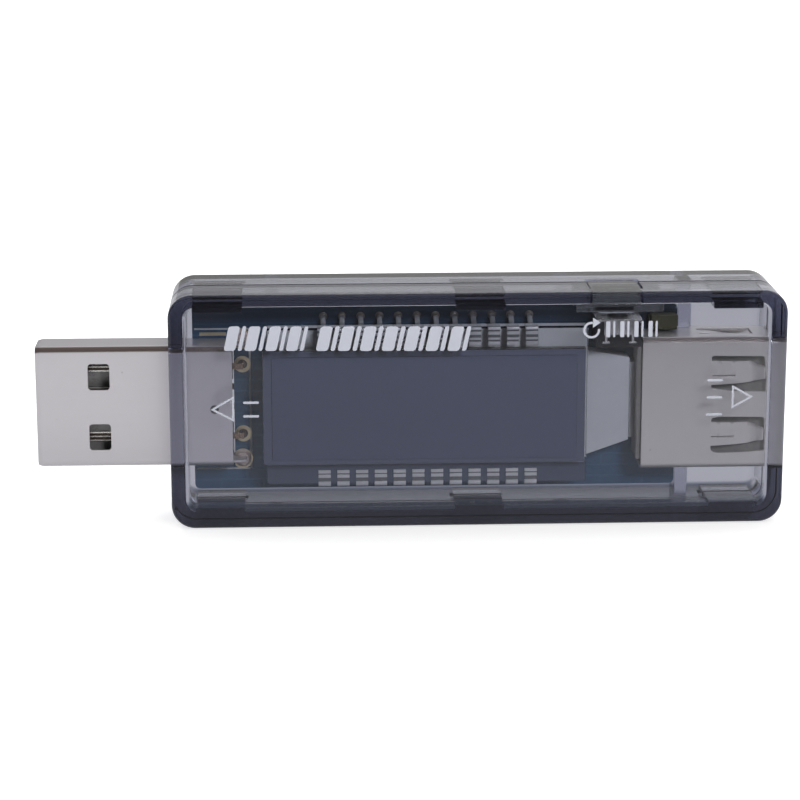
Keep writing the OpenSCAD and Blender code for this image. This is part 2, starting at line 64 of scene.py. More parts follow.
# ------------------------------------------------------------- dimensions
CASE_HALF = 29.8            # half the length along X
CASE_TOP = 23.1
CASE_FRONT, CASE_REAR = -5.5, 5.5
CASE_RADIUS = 2.3
WALL = 1.2
PARTING = -0.3              # Y where the two halves of the case meet
PARTING_GAP = 0.006         # each half stops this far from the parting plane
CASE_BEVEL = 0.045
HOOK_X = (-25.1, 0.2, 25.1)
HOOK_HALF = 2.4
HOOK_END = 2.3              # Y of the hooks' ends
HOOK_DEPTH = 1.85           # from the outside of the case to the inner face of a hook

PORT_Y, PORT_Z = -0.4, 11.6         # axis of the plug and the socket
PLUG_SIZE = (4.5, 12.0)             # Y and Z
SOCKET_SIZE = (5.7, 13.15)
PORT_CLEARANCE = 0.05
SHEET = 0.3                         # wall of both metal shells
SPRING = 0.26                       # thickness of the socket's springs
PIN_INNER, PIN_OUTER = 1.0, 3.5     # USB pins, above and below PORT_Z

BUTTON_X, BUTTON_Y = 13.35, -1.5
BUTTON_HALF = 2.5

BOARD_FRONT, BOARD_REAR = 0.6, 1.6
DISPLAY_PITCH = 1.835
DISPLAY_PIN_X = [-4.82 + (i - 5.5) * DISPLAY_PITCH for i in range(12)]
PIN_ROW_TOP, PIN_ROW_LOW = 19.80, 3.61

# ------------------------------------------------------------ geometry kit


def span(centre, half):
    return (centre - half, centre + half)


def inset(limits, amount):
    return (limits[0] + amount, limits[1] - amount)


def solid(verts, faces):
    """A mesh with its doubles merged and its normals made consistent."""
    mesh = bpy.data.meshes.new("solid")
    mesh.from_pydata(verts, [], faces)
    mesh.update()
    work = bmesh.new()
    work.from_mesh(mesh)
    bmesh.ops.remove_doubles(work, verts=work.verts, dist=1e-5)
    bmesh.ops.recalc_face_normals(work, faces=work.faces)
    work.to_mesh(mesh)
    work.free()
    return mesh


def round_rect(u_span, v_span, radius, steps=10):
    """Rounded rectangle as a counter-clockwise list of (u, v)."""
    radius = max(radius, 0.01)
    left, right = inset(u_span, radius)
    low, high = inset(v_span, radius)
    points = []
    for u, v, start in ((right, high, 0), (left, high, 90), (left, low, 180), (right, low, 270)):
        for k in range(steps + 1):
            angle = math.radians(start + 90.0 * k / steps)
            points.append((u + radius * math.cos(angle), v + radius * math.sin(angle)))
    return points


def place(axis, u, v, along):
    """(u, v) in the section and a position along the axis, as x, y, z."""
    if axis == "y":
        return (u, along, v)
    if axis == "x":
        return (along, u, v)
    return (u, v, along)


def loft(axis, loops, capped=True):
    """Skin over loops, a list of (position, [(u, v)...]) with equal counts."""
    n = len(loops[0][1])
    verts = [place(axis, u, v, along) for along, points in loops for u, v in points]
    faces = []
    for k in range(len(loops) - 1):
        for i in range(n):
            j = (i + 1) % n
            faces.append((k * n + i, k * n + j, (k + 1) * n + j, (k + 1) * n + i))
    if capped:
        faces.append(tuple(range(n)))
        faces.append(tuple(range((len(loops) - 1) * n, len(loops) * n)))
    return solid(verts, faces)


def fillet_stations(limits, fillets, steps=5):
    """(position, inset) pairs for a prism whose two ends are rounded by the fillets."""
    stations = []
    for end, direction, fillet in zip(limits, (1, -1), fillets):
        rounding = [(end, 0.0)]
        if fillet > 0:
            angles = [math.radians(90.0 * k / steps) for k in range(steps + 1)]
            rounding = [(end + direction * fillet * (1 - math.cos(a)), fillet * (1 - math.sin(a)))
                        for a in angles]
        stations += rounding[::direction]
    return stations


def prism(axis, u_span, v_span, radius, limits, fillets=(0.0, 0.0), corner_steps=10, fillet_steps=5):
    """Rounded rectangular bar along the axis."""
    return loft(axis, [
        (along, round_rect(inset(u_span, d), inset(v_span, d), radius - d, corner_steps))
        for along, d in fillet_stations(limits, fillets, fillet_steps)])


def cuboid(x_span, y_span, z_span, bevel=0.0):
    verts = [(x, y, z) for x in x_span for y in y_span for z in z_span]
    faces = [(0, 1, 3, 2), (4, 6, 7, 5), (0, 4, 5, 1), (2, 3, 7, 6), (0, 2, 6, 4), (1, 5, 7, 3)]
    mesh = solid(verts, faces)
    return bevel_mesh(mesh, bevel) if bevel > 0 else mesh


def extrude(axis, outline, limits):
    return loft(axis, [(limits[0], outline), (limits[1], outline)])


def ease_edges(work, width, angle, segments=2):
    """Merge flat faces, bevel the edges sharper than angle and recompute the normals."""
    bmesh.ops.dissolve_limit(work, angle_limit=math.radians(0.6), verts=work.verts,
                             edges=work.edges)
    limit = math.radians(angle)
    edges = [e for e in work.edges if len(e.link_faces) == 2 and e.calc_face_angle(0) > limit]
    if width > 0 and edges:
        bmesh.ops.bevel(work, geom=edges, offset=width, offset_type="OFFSET", segments=segments,
                        profile=0.5, affect="EDGES", clamp_overlap=True)
    bmesh.ops.recalc_face_normals(work, faces=work.faces)


def bevel_mesh(mesh, width, angle=30.0):
    work = bmesh.new()
    work.from_mesh(mesh)
    bmesh.ops.remove_doubles(work, verts=work.verts, dist=1e-5)
    ease_edges(work, width, angle)
    work.to_mesh(mesh)
    work.free()
    return mesh


def boolean(operation, mesh, tools):
    """Apply the tools to the mesh one after another."""
    for tool in tools:
        target = bpy.data.objects.new("target", mesh)
        other = bpy.data.objects.new("tool", tool)
        for item in (target, other):
            bpy.context.scene.collection.objects.link(item)
        modifier = target.modifiers.new("boolean", "BOOLEAN")
        modifier.operation = operation
        modifier.solver = "EXACT"
        modifier.object = other
        depsgraph = bpy.context.evaluated_depsgraph_get()
        mesh = bpy.data.meshes.new_from_object(target.evaluated_get(depsgraph))
        bpy.data.objects.remove(target)
        bpy.data.objects.remove(other)
    return mesh


def cut(mesh, *tools):
    return boolean("DIFFERENCE", mesh, tools)


def fuse(mesh, *tools):
    return boolean("UNION", mesh, tools)


def join(meshes):
    work = bmesh.new()
    for mesh in meshes:
        work.from_mesh(mesh)
    joined = bpy.data.meshes.new("joined")
    work.to_mesh(joined)
    work.free()
    return joined


def piece(name, mesh, material, replaces=None, body="meter", smooth=32.0):
    """A finished object from a mesh in millimetres; material is a key of MATERIALS."""
    mesh.name = name
    coords = np.zeros(len(mesh.vertices) * 3)
    mesh.vertices.foreach_get("co", coords)
    mesh.vertices.foreach_set("co", coords * MM)
    if "custom_normal" in mesh.attributes:
        mesh.attributes.remove(mesh.attributes["custom_normal"])
    mesh.materials.clear()
    mesh.materials.append(MATERIALS[material])
    mesh.polygons.foreach_set("material_index", [0] * len(mesh.polygons))
    mesh.polygons.foreach_set("use_smooth", [True] * len(mesh.polygons))
    mesh.set_sharp_from_angle(angle=math.radians(smooth))
    mesh.update()
    item = bpy.data.objects.new(name, mesh)
    bpy.context.scene.collection.objects.link(item)
    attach(item, body)
    if replaces:
        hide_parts(replaces)
    flat = item.modifiers.new("flat_faces", "WEIGHTED_NORMAL")
    flat.mode = "FACE_AREA"
    flat.weight = 100
    flat.keep_sharp = True
    return item


def cad_piece(name, node, material, slot, bevel, segments=2, angle=30.0, body="meter"):
    """A CAD node's mesh with its flat faces merged and its edges eased, in its place."""
    work = bmesh.new()
    work.from_mesh(NODES[node].data)
    bmesh.ops.scale(work, vec=(1000, 1000, 1000), verts=work.verts)
    bmesh.ops.remove_doubles(work, verts=work.verts, dist=0.002)
    for layer in list(work.loops.layers.float_vector):
        work.loops.layers.float_vector.remove(layer)
    ease_edges(work, bevel, angle, segments)
    mesh = bpy.data.meshes.new(node)
    work.to_mesh(mesh)
    work.free()
    return piece(name, mesh, material, node, body)


def strip(path, thickness):
    """Outline of an even strip along a bent path of (a, b)."""
    path = [np.array(point, float) for point in path]

    def normal(start, end):
        step = end - start
        step = step / np.linalg.norm(step)
        return np.array([-step[1], step[0]])

    left, right = [], []
    for i, point in enumerate(path):
        if i == 0:
            mitre = normal(path[0], path[1])
        elif i == len(path) - 1:
            mitre = normal(path[-2], path[-1])
        else:
            both = normal(path[i - 1], point) + normal(point, path[i + 1])
            mitre = both * (2 / (both @ both))
        left.append(tuple(point + mitre * thickness / 2))
        right.append(tuple(point - mitre * thickness / 2))
    return left + right[::-1]


def rounded_corner(before, corner, after, radius, steps):
    """Points of a quadratic curve that replaces one corner."""
    back, ahead = before - corner, after - corner
    back_length, ahead_length = np.linalg.norm(back), np.linalg.norm(ahead)
    reach = min(radius, back_length * 0.45, ahead_length * 0.45)
    start = corner + back / back_length * reach
    end = corner + ahead / ahead_length * reach
    return [tuple((1 - t) ** 2 * start + 2 * t * (1 - t) * corner + t * t * end)
            for t in (k / steps for k in range(steps + 1))]


def smooth_path(path, radius, steps):
    """The open path with its inner corners rounded by about radius."""
    path = [np.array(point, float) for point in path]
    points = [tuple(path[0])]
    for before, corner, after in zip(path, path[1:], path[2:]):
        points += rounded_corner(before, corner, after, radius, steps)
    return points + [tuple(path[-1])]


def rounded(outline, radius, steps=4):
    """The closed outline with its corners rounded by about radius."""
    outline = [np.array(point, float) for point in outline]
    points = []
    for before, corner, after in zip(outline[-1:] + outline, outline, outline[1:] + outline[:1]):
        points += rounded_corner(before, corner, after, radius, steps)
    return points


def ring_plate(outer, inner, y_span):
    """A flat ring facing Y, between two (x, z) outlines with the same count."""
    n = len(outer)
    verts = [(x, y, z) for y in y_span for outline in (outer, inner) for x, z in outline]
    faces = []
    for i in range(n):
        j = (i + 1) % n
        faces.append((i, j, n + j, n + i))
        faces.append((2 * n + i, 3 * n + i, 3 * n + j, 2 * n + j))
        faces.append((i, 2 * n + i, 2 * n + j, j))
        faces.append((n + i, n + j, 3 * n + j, 3 * n + i))
    return solid(verts, faces)


# ----------------------------------------------------------- material kit


class Tree:
    """Short calls for the shader nodes of a material or a world."""

    def __init__(self, owner, output="OutputMaterial"):
        owner.use_nodes = True
        self.owner = owner
        self.nodes = owner.node_tree.nodes
        self.links = owner.node_tree.links
        self.nodes.clear()
        self.output = self.node(output)
        self.shared = {}

    def node(self, kind, sockets=None, settings=None, **inputs):
        """sockets go by index, inputs by name with _ for a space; each a value or an output."""
        node = self.nodes.new("ShaderNode" + kind)
        for key, value in (settings or {}).items():
            setattr(node, key, value)
        values = dict(sockets or {})
        values.update((key.replace("_", " "), value) for key, value in inputs.items())
        for key, value in values.items():
            socket = node.inputs[key]
            if isinstance(value, bpy.types.NodeSocket):
                self.links.new(value, socket)
            else:
                if socket.type == "RGBA":
                    value = (*value, 1.0)
                socket.default_value = value
        return node

    def add(self, *args, **inputs):
        """The first output of a new node."""
        return self.node(*args, **inputs).outputs[0]

    def common(self, kind, output):
        """An output of a node that the tree holds only once."""
        if kind not in self.shared:
            self.shared[kind] = self.node(kind)
        return self.shared[kind].outputs[output]

    def position(self):
        return self.common("TexCoord", "Object")

    def ray(self, kind):
        return self.common("LightPath", f"Is {kind} Ray")

    def axes(self, vector):
        return tuple(self.node("SeparateXYZ", {0: vector}).outputs)

    def scaled(self, x, y, z):
        return self.add("Mapping", Vector=self.position(), Scale=(x, y, z))

    def noise(self, scale, detail=3.0, rough=0.55, vector=None):
        return self.add("TexNoise", Scale=scale, Detail=detail, Roughness=rough,
                        Vector=vector or self.position())

    def ramp(self, factor, stops):
        """stops is a list of (position, colour)."""
        node = self.node("ValToRGB", {0: factor})
        elements = node.color_ramp.elements
        while len(elements) < len(stops):
            elements.new(0.5)
        for element, (position, color) in zip(elements, stops):
            element.position = position
            element.color = (*color, 1.0)
        return node.outputs[0]

    def shades(self, factor, base, variation, limits):
        """The base colour, darker at the first limit and lighter at the second."""
        low = tuple(c * (1 - variation) for c in base)
        high = tuple(min(1.0, c * (1 + variation)) for c in base)
        return self.ramp(factor, list(zip(limits, (low, high))))

    def remap(self, value, over, to=(0.0, 1.0)):
        return self.add("MapRange", Value=value, From_Min=over[0], From_Max=over[1],
                        To_Min=to[0], To_Max=to[1])

    def bump(self, height, strength, distance):
        return self.add("Bump", Strength=strength, Distance=distance, Height=height)

    def math(self, operation, *values):
        return self.add("Math", dict(enumerate(values)), {"operation": operation})

    def times(self, first, second):
        return self.math("MULTIPLY", first, second)

    def average(self, first, second):
        return self.times(self.math("ADD", first, second), 0.5)

    def away(self, value, centre):
        return self.math("ABSOLUTE", self.math("SUBTRACT", value, centre))

    def dimmed(self, color, factor):
        return self.add("VectorMath", {0: color}, {"operation": "SCALE"}, Scale=factor)

    def mix_color(self, factor, first, second):
        return self.node("Mix", {0: factor, 6: first, 7: second}, {"data_type": "RGBA"}).outputs[2]

    def mix_shader(self, factor, first, second):
        return self.add("MixShader", {0: factor, 1: first, 2: second})

    def finish(self, surface, volume=None):
        self.links.new(surface, self.output.inputs["Surface"])
        if volume is not None:
            self.links.new(volume, self.output.inputs["Volume"])
        return self.owner


def material_tree(name):
    return Tree(bpy.data.materials.new(name))


def srgb(*channels):
    """Linear colour from 0-255 display values."""
    def linear(c):
        c /= 255.0
        return c / 12.92 if c <= 0.04045 else ((c + 0.055) / 1.055) ** 2.4

    return tuple(linear(c) for c in channels)


def matte_seam(tree, clear, tilt_x, tilt_z, ior):
    """The clear surface with matte faces on the parting plane and at the hooks' ends, their colour
    carrying painted light and shade.
    """
    x, y, z = tree.axes(tree.position())
    off = tree.math("MINIMUM", tree.away(y, PARTING * MM), tree.away(y, (HOOK_END - 0.01) * MM))
    mask = tree.remap(off, over=(0.00016, 0.00023), to=(1.0, 0.0))
    # 0 at the parting plane, 1 out along the hooks
    hook = tree.remap(y, over=(0.0005, 0.0015))
    # 0 on faces square to Y, 1 on faces turned to X or Z
    turned = tree.math("MAXIMUM", tree.math("ABSOLUTE", tilt_z), tree.math("ABSOLUTE", tilt_x))

    def by_turn(*to):
        return tree.remap(turned, over=(0.2, 0.5), to=to)

    # painted light and shade: the matte faces are lighter along the bottom, the top and the plug
    # end, darker on turned faces
    light = tree.math("ADD", tree.remap(z, over=(0.0012, 0.0060), to=(2.5, 1.8)),
                      tree.remap(z, over=(0.0190, 0.0212), to=(0.0, 0.9)))
    light = tree.times(light, tree.remap(x, over=(-0.0292, -0.0270), to=(1.6, 1.0)))
    light = tree.times(light, by_turn(1.0, 0.15))
    # the end of a hook is matte all round, the walls beside and above it aren't
    near = tree.math("MINIMUM", tree.away(x, HOOK_X[1] * MM),
                     tree.away(tree.math("ABSOLUTE", x), HOOK_X[2] * MM))
    near = tree.remap(near, over=(0.00238, 0.00244), to=(1.0, 0.0))
    inside = tree.remap(tree.away(z, CASE_TOP / 2 * MM), over=(0.0107, 0.0110), to=(1.0, 0.0))
    wall = tree.math("SUBTRACT", 1.0, tree.times(near, inside))
    wall = tree.times(wall, tree.times(by_turn(0.0, 1.0), hook))
    mask = tree.times(mask, tree.math("SUBTRACT", 1.0, wall))

    # painted shade: the matte faces darken out along the hooks to nearly black at their ends
    tone = tree.times(tree.remap(hook, over=(0.0, 1.0), to=(1.0, 0.05)), light)
    grain = tree.ramp(tree.noise(scale=3000.0, detail=2.0, rough=0.5),
                      [(0.3, (0.078, 0.078, 0.092)), (0.7, (0.092, 0.092, 0.108))])
    dull = tree.add("BsdfPrincipled", Base_Color=tree.dimmed(grain, tone), Roughness=0.6, IOR=ior,
                    Specular_IOR_Level=0.0)
    # thinner cover on the parting plane and towards the socket end
    cover = tree.times(tree.remap(hook, over=(0.0, 1.0), to=(0.78, 0.94)),
                       tree.remap(x, over=(0.0262, 0.0290), to=(1.0, 0.50)))
    cover = tree.math("MAXIMUM", cover, by_turn(0.0, 0.94))
    return tree.mix_shader(tree.times(mask, cover), clear, dull)


def see_through(name, absorb, ior, rough, wave, shadow=0.95, seam=False):
    """Clear material that bends light, darkens with depth and lets lamps reach what is inside.

    absorb is per mm, wave the strength of the surface waves, shadow the light let through
    to what lies behind. seam adds the matte mating faces of the case.
    """
    tree = material_tree(name)
    waves = tree.noise(scale=60.0, detail=2.0, rough=0.4)
    smudge = tree.noise(scale=240.0, detail=4.0, rough=0.6)
    tilt_x, _, tilt_z = tree.axes(tree.node("NewGeometry").outputs["Normal"])
    # the case is worn duller on the faces turned up or down
    worn = tree.remap(tree.math("ABSOLUTE", tilt_z), over=(0.90, 0.99),
                      to=(0.0, 0.09 if seam else 0.0))
    smudged = tree.remap(smudge, over=(0.35, 0.75), to=(rough, rough * 2.2))
    surface = tree.add("BsdfPrincipled", Base_Color=(1, 1, 1), IOR=ior, Transmission_Weight=1.0,
                       Roughness=tree.math("ADD", smudged, worn),
                       Normal=tree.bump(waves, strength=wave, distance=0.0002))
    if seam:
        surface = matte_seam(tree, surface, tilt_x, tilt_z, ior)
    lit = tree.add("BsdfTransparent", Color=(shadow,) * 3)
    depth = tree.add("VolumeAbsorption", Color=tuple(1 - a for a in absorb), Density=1 / MM)
    return tree.finish(tree.mix_shader(tree.ray("Shadow"), surface, lit), depth)


def metal(name, base, rough, variation, bump=0.0, rolled=False, spots=0.0, satin=0.0, painted_bend_reflection=0.0,
          painted_case_light=None):
    """Plated or bare metal with fine mottling.

    rolled draws the grain out along X; spots is the strength of dark pits; satin takes
    away from the metallic weight. The painted bend reflection darkens the bends between the
    display face and the top, standing for the unlit side of the studio that they mirror. The
    painted case light holds x, and the tone outside it and the lighter tone inside the case.
    """
    tree = material_tree(name)
    grain = tree.scaled(60.0, 1400.0, 1400.0) if rolled else tree.scaled(1800.0, 1800.0, 1800.0)
    streak = tree.noise(scale=1.0, rough=0.6, vector=grain)
    mottle = tree.average(streak, tree.noise(scale=420.0))
    color = tree.shades(mottle, base, variation, limits=(0.36, 0.64))
    if spots > 0:
        pits = tree.noise(scale=1500.0, detail=2.0, rough=0.5)
        pits = tree.remap(pits, over=(0.765, 0.79), to=(0.0, spots))
        color = tree.mix_color(pits, color, (0.12, 0.11, 0.10))
    if painted_bend_reflection > 0:
        _, facing_y, facing_z = tree.axes(tree.node("NewGeometry").outputs["Normal"])
        bend_reflection_mask = tree.times(tree.remap(facing_z, over=(0.12, 0.30)),
                          tree.remap(facing_z, over=(0.84, 0.93), to=(1.0, 0.0)))
        bend_reflection_mask = tree.times(bend_reflection_mask, tree.remap(facing_y, over=(-0.30, -0.15), to=(painted_bend_reflection, 0.0)))
        # painted reflection: the bends take a dark brown for the unlit studio they would mirror
        color = tree.mix_color(bend_reflection_mask, color, (0.150, 0.118, 0.110))
    # painted light: the metal is lighter inside the case than outside it
    if painted_case_light:
        x = tree.axes(tree.position())[0]
        edge = [limit * MM for limit in span(painted_case_light["x"], 0.3)]
        color = tree.dimmed(color, tree.remap(x, over=edge,
                                              to=(painted_case_light["outside"], painted_case_light["inside"])))
    inputs = {"Normal": tree.bump(mottle, strength=bump, distance=0.00002)} if bump > 0 else {}
    roughness = tree.remap(mottle, over=(0.3, 0.7), to=(rough * 0.92, rough * 1.1))
    return tree.finish(tree.add("BsdfPrincipled", Base_Color=color, Metallic=1.0 - satin,
                                Roughness=roughness, **inputs))


def plug_contact_plate():
    """Spring contact: pale ridges along its edges and middle in the mouth, their paleness a painted
    highlight, on a dark painted reflection of the shell inside; bare at its tail.
    """
    # edge is a painted highlight, middle a painted reflection of the dark inside of the shell, tail
    # the bare metal
    edge, middle, tail = (0.86, 0.84, 0.80), (0.055, 0.043, 0.036), (0.30, 0.21, 0.16)
    tree = material_tree("plug_contact_plate")
    x, _, z = tree.axes(tree.position())
    near = None
    for offset in (-PIN_OUTER, -PIN_INNER, PIN_INNER, PIN_OUTER):
        distance = tree.away(z, (PORT_Z + offset) * MM)
        near = distance if near is None else tree.math("MINIMUM", near, distance)
    # painted highlights: pale lines along the contacts' edges and middles
    rim_glint = tree.remap(tree.away(near, 0.00040), over=(0.00005, 0.00009), to=(1.0, 0.0))
    ridge_glint = tree.remap(near, over=(0.00004, 0.00008), to=(0.7, 0.0))
    inside = tree.remap(x, over=(-0.0308, -0.0300))
    lines = tree.times(tree.math("MAXIMUM", rim_glint, ridge_glint), tree.math("SUBTRACT", 1.0, inside))
    wear = tree.noise(scale=1200.0)
    dull = tree.shades(wear, middle, variation=0.15, limits=(0.3, 0.7))
    color = tree.mix_color(lines, tree.mix_color(inside, dull, tail), edge)
    return tree.finish(tree.add(
        "BsdfPrincipled", Base_Color=color, Metallic=0.75,
        Roughness=tree.remap(wear, over=(0.3, 0.7), to=(0.20, 0.30)),
        Normal=tree.bump(lines, strength=0.4, distance=0.00003)))


def plastic(name, base, rough, grain, variation, bump):
    """Moulded plastic, epoxy or ink: fine grain of the given scale and slow colour drift."""
    tree = material_tree(name)
    fine = tree.noise(scale=grain, rough=0.6)
    slow = tree.noise(scale=160.0, detail=2.0, rough=0.5)
    color = tree.shades(tree.average(fine, slow), base, variation, limits=(0.35, 0.65))
    roughness = tree.remap(fine, over=(0.3, 0.7), to=(rough * 0.85, min(1.0, rough * 1.2)))
    return tree.finish(tree.add("BsdfPrincipled", Base_Color=color, Roughness=roughness,
                                Normal=tree.bump(fine, strength=bump, distance=0.00003)))


def clip_plate():
    """Tinned clip strip: pale ridges, painted shade in the cross grooves of the front arm."""
    tree = material_tree("clip_plate")
    _, y, z = tree.axes(tree.position())
    deep = tree.remap(y, over=(-0.00299, -0.00293))
    front = tree.remap(y, over=(-0.00270, -0.00260), to=(1.0, 0.0))
    # shade at the rear of the upper row
    shade = tree.times(tree.remap(y, over=(-0.00175, -0.00150), to=(0.0, 0.9)),
                       tree.remap(z, over=(0.0185, 0.0190)))
    # painted shade: in the cross grooves and at the rear of the upper row
    painted_shade_mask = tree.math("MAXIMUM", tree.times(deep, front), shade)
    wear = tree.noise(scale=900.0, detail=2.0, rough=0.5)
    pale = tree.ramp(wear, [(0.35, srgb(206, 207, 210)), (0.65, srgb(216, 217, 220))])
    color = tree.mix_color(tree.times(painted_shade_mask, 0.85), pale, (0.10, 0.105, 0.12))
    return tree.finish(tree.add("BsdfPrincipled", Base_Color=color, Metallic=0.55,
                                Roughness=tree.remap(wear, over=(0.3, 0.7), to=(0.34, 0.42))))


def board_mask():
    """Dark blue solder mask: tracks show as raised, lighter bands over the fibre weave."""
    tree = material_tree("board_mask")
    millimetres = tree.scaled(1000.0, 1000.0, 1000.0)
    upright = tree.add("Mapping", Vector=millimetres, Rotation=(math.radians(90), 0, 0))
    brick = tree.add("TexBrick", settings={"offset": 0.37, "squash": 1.6}, Vector=upright,
                     Scale=0.55, Mortar_Size=0.055, Mortar_Smooth=0.15, Brick_Width=2.3,
                     Row_Height=0.62, Color1=(0, 0, 0), Color2=(0.06, 0.06, 0.06),
                     Mortar=(1, 1, 1))
    track = tree.add("SeparateColor", {0: brick})
    weave = tree.node("TexWave", settings={"wave_type": "BANDS", "bands_direction": "X"},
                      Scale=900.0, Distortion=1.2, Vector=tree.position()).outputs["Fac"]
    base = tree.ramp(tree.noise(scale=90.0, detail=2.0, rough=0.5),
                     [(0.35, (0.042, 0.096, 0.172)), (0.65, (0.052, 0.116, 0.204))])
    color = tree.mix_color(tree.times(track, 0.55), base, (0.070, 0.152, 0.255))
    # the top of the board lies in shade
    top = tree.remap(tree.axes(tree.position())[2], over=(0.0182, 0.0198), to=(0.0, 0.93))
    color = tree.mix_color(top, color, (0.004, 0.008, 0.018))
    height = tree.math("ADD", track, tree.times(weave, 0.06))
    return tree.finish(tree.add("BsdfPrincipled", Base_Color=color, Roughness=0.32,
                                Normal=tree.bump(height, strength=0.35, distance=0.00003)))


def film(name, top, bottom, z_span):
    """Polariser film: a dark tone that shifts a little from its bottom edge to its top edge."""
    rough = 0.35
    tree = material_tree(name)
    height = tree.remap(tree.axes(tree.position())[2], over=[z * MM for z in z_span])
    drift = tree.math("SUBTRACT", tree.noise(scale=70.0, detail=2.0, rough=0.5), 0.5)
    tone = tree.math("ADD", height, tree.times(drift, 0.12))
    fine = tree.noise(scale=300.0, detail=1.0, rough=0.5)
    return tree.finish(tree.add(
        "BsdfPrincipled", Base_Color=tree.ramp(tone, [(0.0, bottom), (1.0, top)]),
        Roughness=tree.remap(fine, over=(0.3, 0.7), to=(rough * 0.99, rough * 1.01))))


MATERIALS = {
    "smoke": see_through("smoke_case", (0.215, 0.208, 0.160), ior=1.45, rough=0.010, wave=0.008,
                         seam=True),
    "smoke_button": see_through("smoke_button", (0.42, 0.41, 0.39), ior=1.49, rough=0.03,
                                wave=0.01),
    "glass": see_through("display_glass", (0.010, 0.004, 0.004), ior=1.52, rough=0.006,
                         wave=0.003, shadow=0.97),
    "nickel": metal("nickel_plate", srgb(200, 197, 201), rough=0.30, variation=0.010,
                    rolled=True, spots=0.35, satin=0.28, painted_bend_reflection=1.0,
                    painted_case_light={"x": -CASE_HALF, "outside": 0.90, "inside": 1.14}),
    "socket": metal("socket_plate", srgb(228, 224, 220), rough=0.32, variation=0.012,
                    rolled=True, spots=0.2, satin=0.45, painted_bend_reflection=0.85),
    # painted shade: a darker copy of the solder for the upper front joints, which lie in shade
    "solder_shaded": metal("solder_painted_shade", (0.22, 0.20, 0.175), rough=0.38, variation=0.08,
                        bump=0.02, satin=0.3),
    "tin": metal("tin_plate", srgb(214, 213, 212), rough=0.26, variation=0.02, bump=0.006,
                 satin=0.15),
    "solder": metal("solder_alloy", srgb(176, 173, 168), rough=0.34, variation=0.04, bump=0.02,
                    satin=0.2),
    "gold": metal("gold_flash", srgb(214, 200, 168), rough=0.32, variation=0.05, bump=0.03,
                  satin=0.25),
    "contact_plug": plug_contact_plate(),
    "contact_socket": metal("socket_contact_plate", srgb(178, 150, 110), rough=0.30,
                            variation=0.05, bump=0.03),
    "socket_grey": plastic("socket_insulator_grey", (0.33, 0.32, 0.305), rough=0.35,
                           grain=2400.0, variation=0.12, bump=0.05),
    "grey": plastic("connector_grey", (0.150, 0.146, 0.148), rough=0.30, grain=2400.0,
                    variation=0.15, bump=0.06),
    "switch": plastic("switch_black", (0.020, 0.020, 0.022), rough=0.5, grain=2200.0,
                      variation=0.2, bump=0.12),
    "chip": plastic("chip_epoxy", (0.022, 0.022, 0.024), rough=0.62, grain=5200.0,
                    variation=0.3, bump=0.22),
    "olive": plastic("olive_epoxy", (0.060, 0.058, 0.030), rough=0.42, grain=3600.0,
                     variation=0.2, bump=0.12),
    "ceramic": plastic("tan_ceramic", (0.34, 0.25, 0.15), rough=0.5, grain=6000.0,
                       variation=0.15, bump=0.12),
    "resistor": plastic("resistor_glaze", (0.020, 0.020, 0.026), rough=0.28, grain=5000.0,
                        variation=0.2, bump=0.05),
    "guide": plastic("frosted_white", srgb(240, 243, 248), rough=0.42, grain=1400.0,
                     variation=0.03, bump=0.05),
    "led": plastic("led_white", srgb(232, 234, 236), rough=0.4, grain=3000.0, variation=0.04,
                   bump=0.05),
    "ink": plastic("white_ink", (0.232, 0.241, 0.277), rough=0.5, grain=3200.0, variation=0.03,
                   bump=0.02),
    "silk": plastic("white_silkscreen", srgb(205, 208, 210), rough=0.6, grain=6400.0,
                    variation=0.10, bump=0.15),
    "mask": board_mask(),
    "film_front": film("display_film", top=(0.124, 0.148, 0.236), bottom=(0.110, 0.130, 0.208),
                       z_span=(6.5, 16.7)),
    "ledge": film("display_ledge", top=(0.078, 0.098, 0.155), bottom=(0.092, 0.114, 0.175),
                  z_span=(3.8, 6.0)),
    "border": film("display_border", top=(0.142, 0.163, 0.245), bottom=(0.126, 0.146, 0.224),
                   z_span=(6.0, 17.3)),
    "film_rear": film("display_rear_film", top=(0.15, 0.17, 0.23), bottom=(0.14, 0.16, 0.21),
                      z_span=(6.4, 16.9)),
    "tab_solder": metal("tab_solder_alloy", (0.72, 0.60, 0.55), rough=0.42, variation=0.05,
                        bump=0.02, satin=0.6),
    "clip": clip_plate(),
    "pin_fill": metal("pin_solder", (0.20, 0.15, 0.135), rough=0.4, variation=0.1, bump=0.02,
                      satin=0.4),
}

# --------------------------------------------------------------- the case


def port_opening(size, radius, x_span):
    half_y, half_z = (side / 2 + PORT_CLEARANCE for side in size)
    return prism("x", span(PORT_Y, half_y), span(PORT_Z, half_z), radius, x_span, corner_steps=8)


def openings():
    """Cutters for the plug, the socket and the button."""
    half = BUTTON_HALF + 0.1
    return (
        port_opening(PLUG_SIZE, 0.69, (-CASE_HALF - 1, -CASE_HALF + WALL + 1)),
        port_opening(SOCKET_SIZE, 0.65, (CASE_HALF - WALL - 1, CASE_HALF + 1)),
        prism("z", span(BUTTON_X, half), span(BUTTON_Y, half), 0.7,
              (CASE_TOP - WALL - 1, CASE_TOP + 1), corner_steps=8))


def case_half(y_span, fillets):
    return prism("y", span(0, CASE_HALF), (0, CASE_TOP), CASE_RADIUS, y_span, fillets,
                 corner_steps=14, fillet_steps=6)


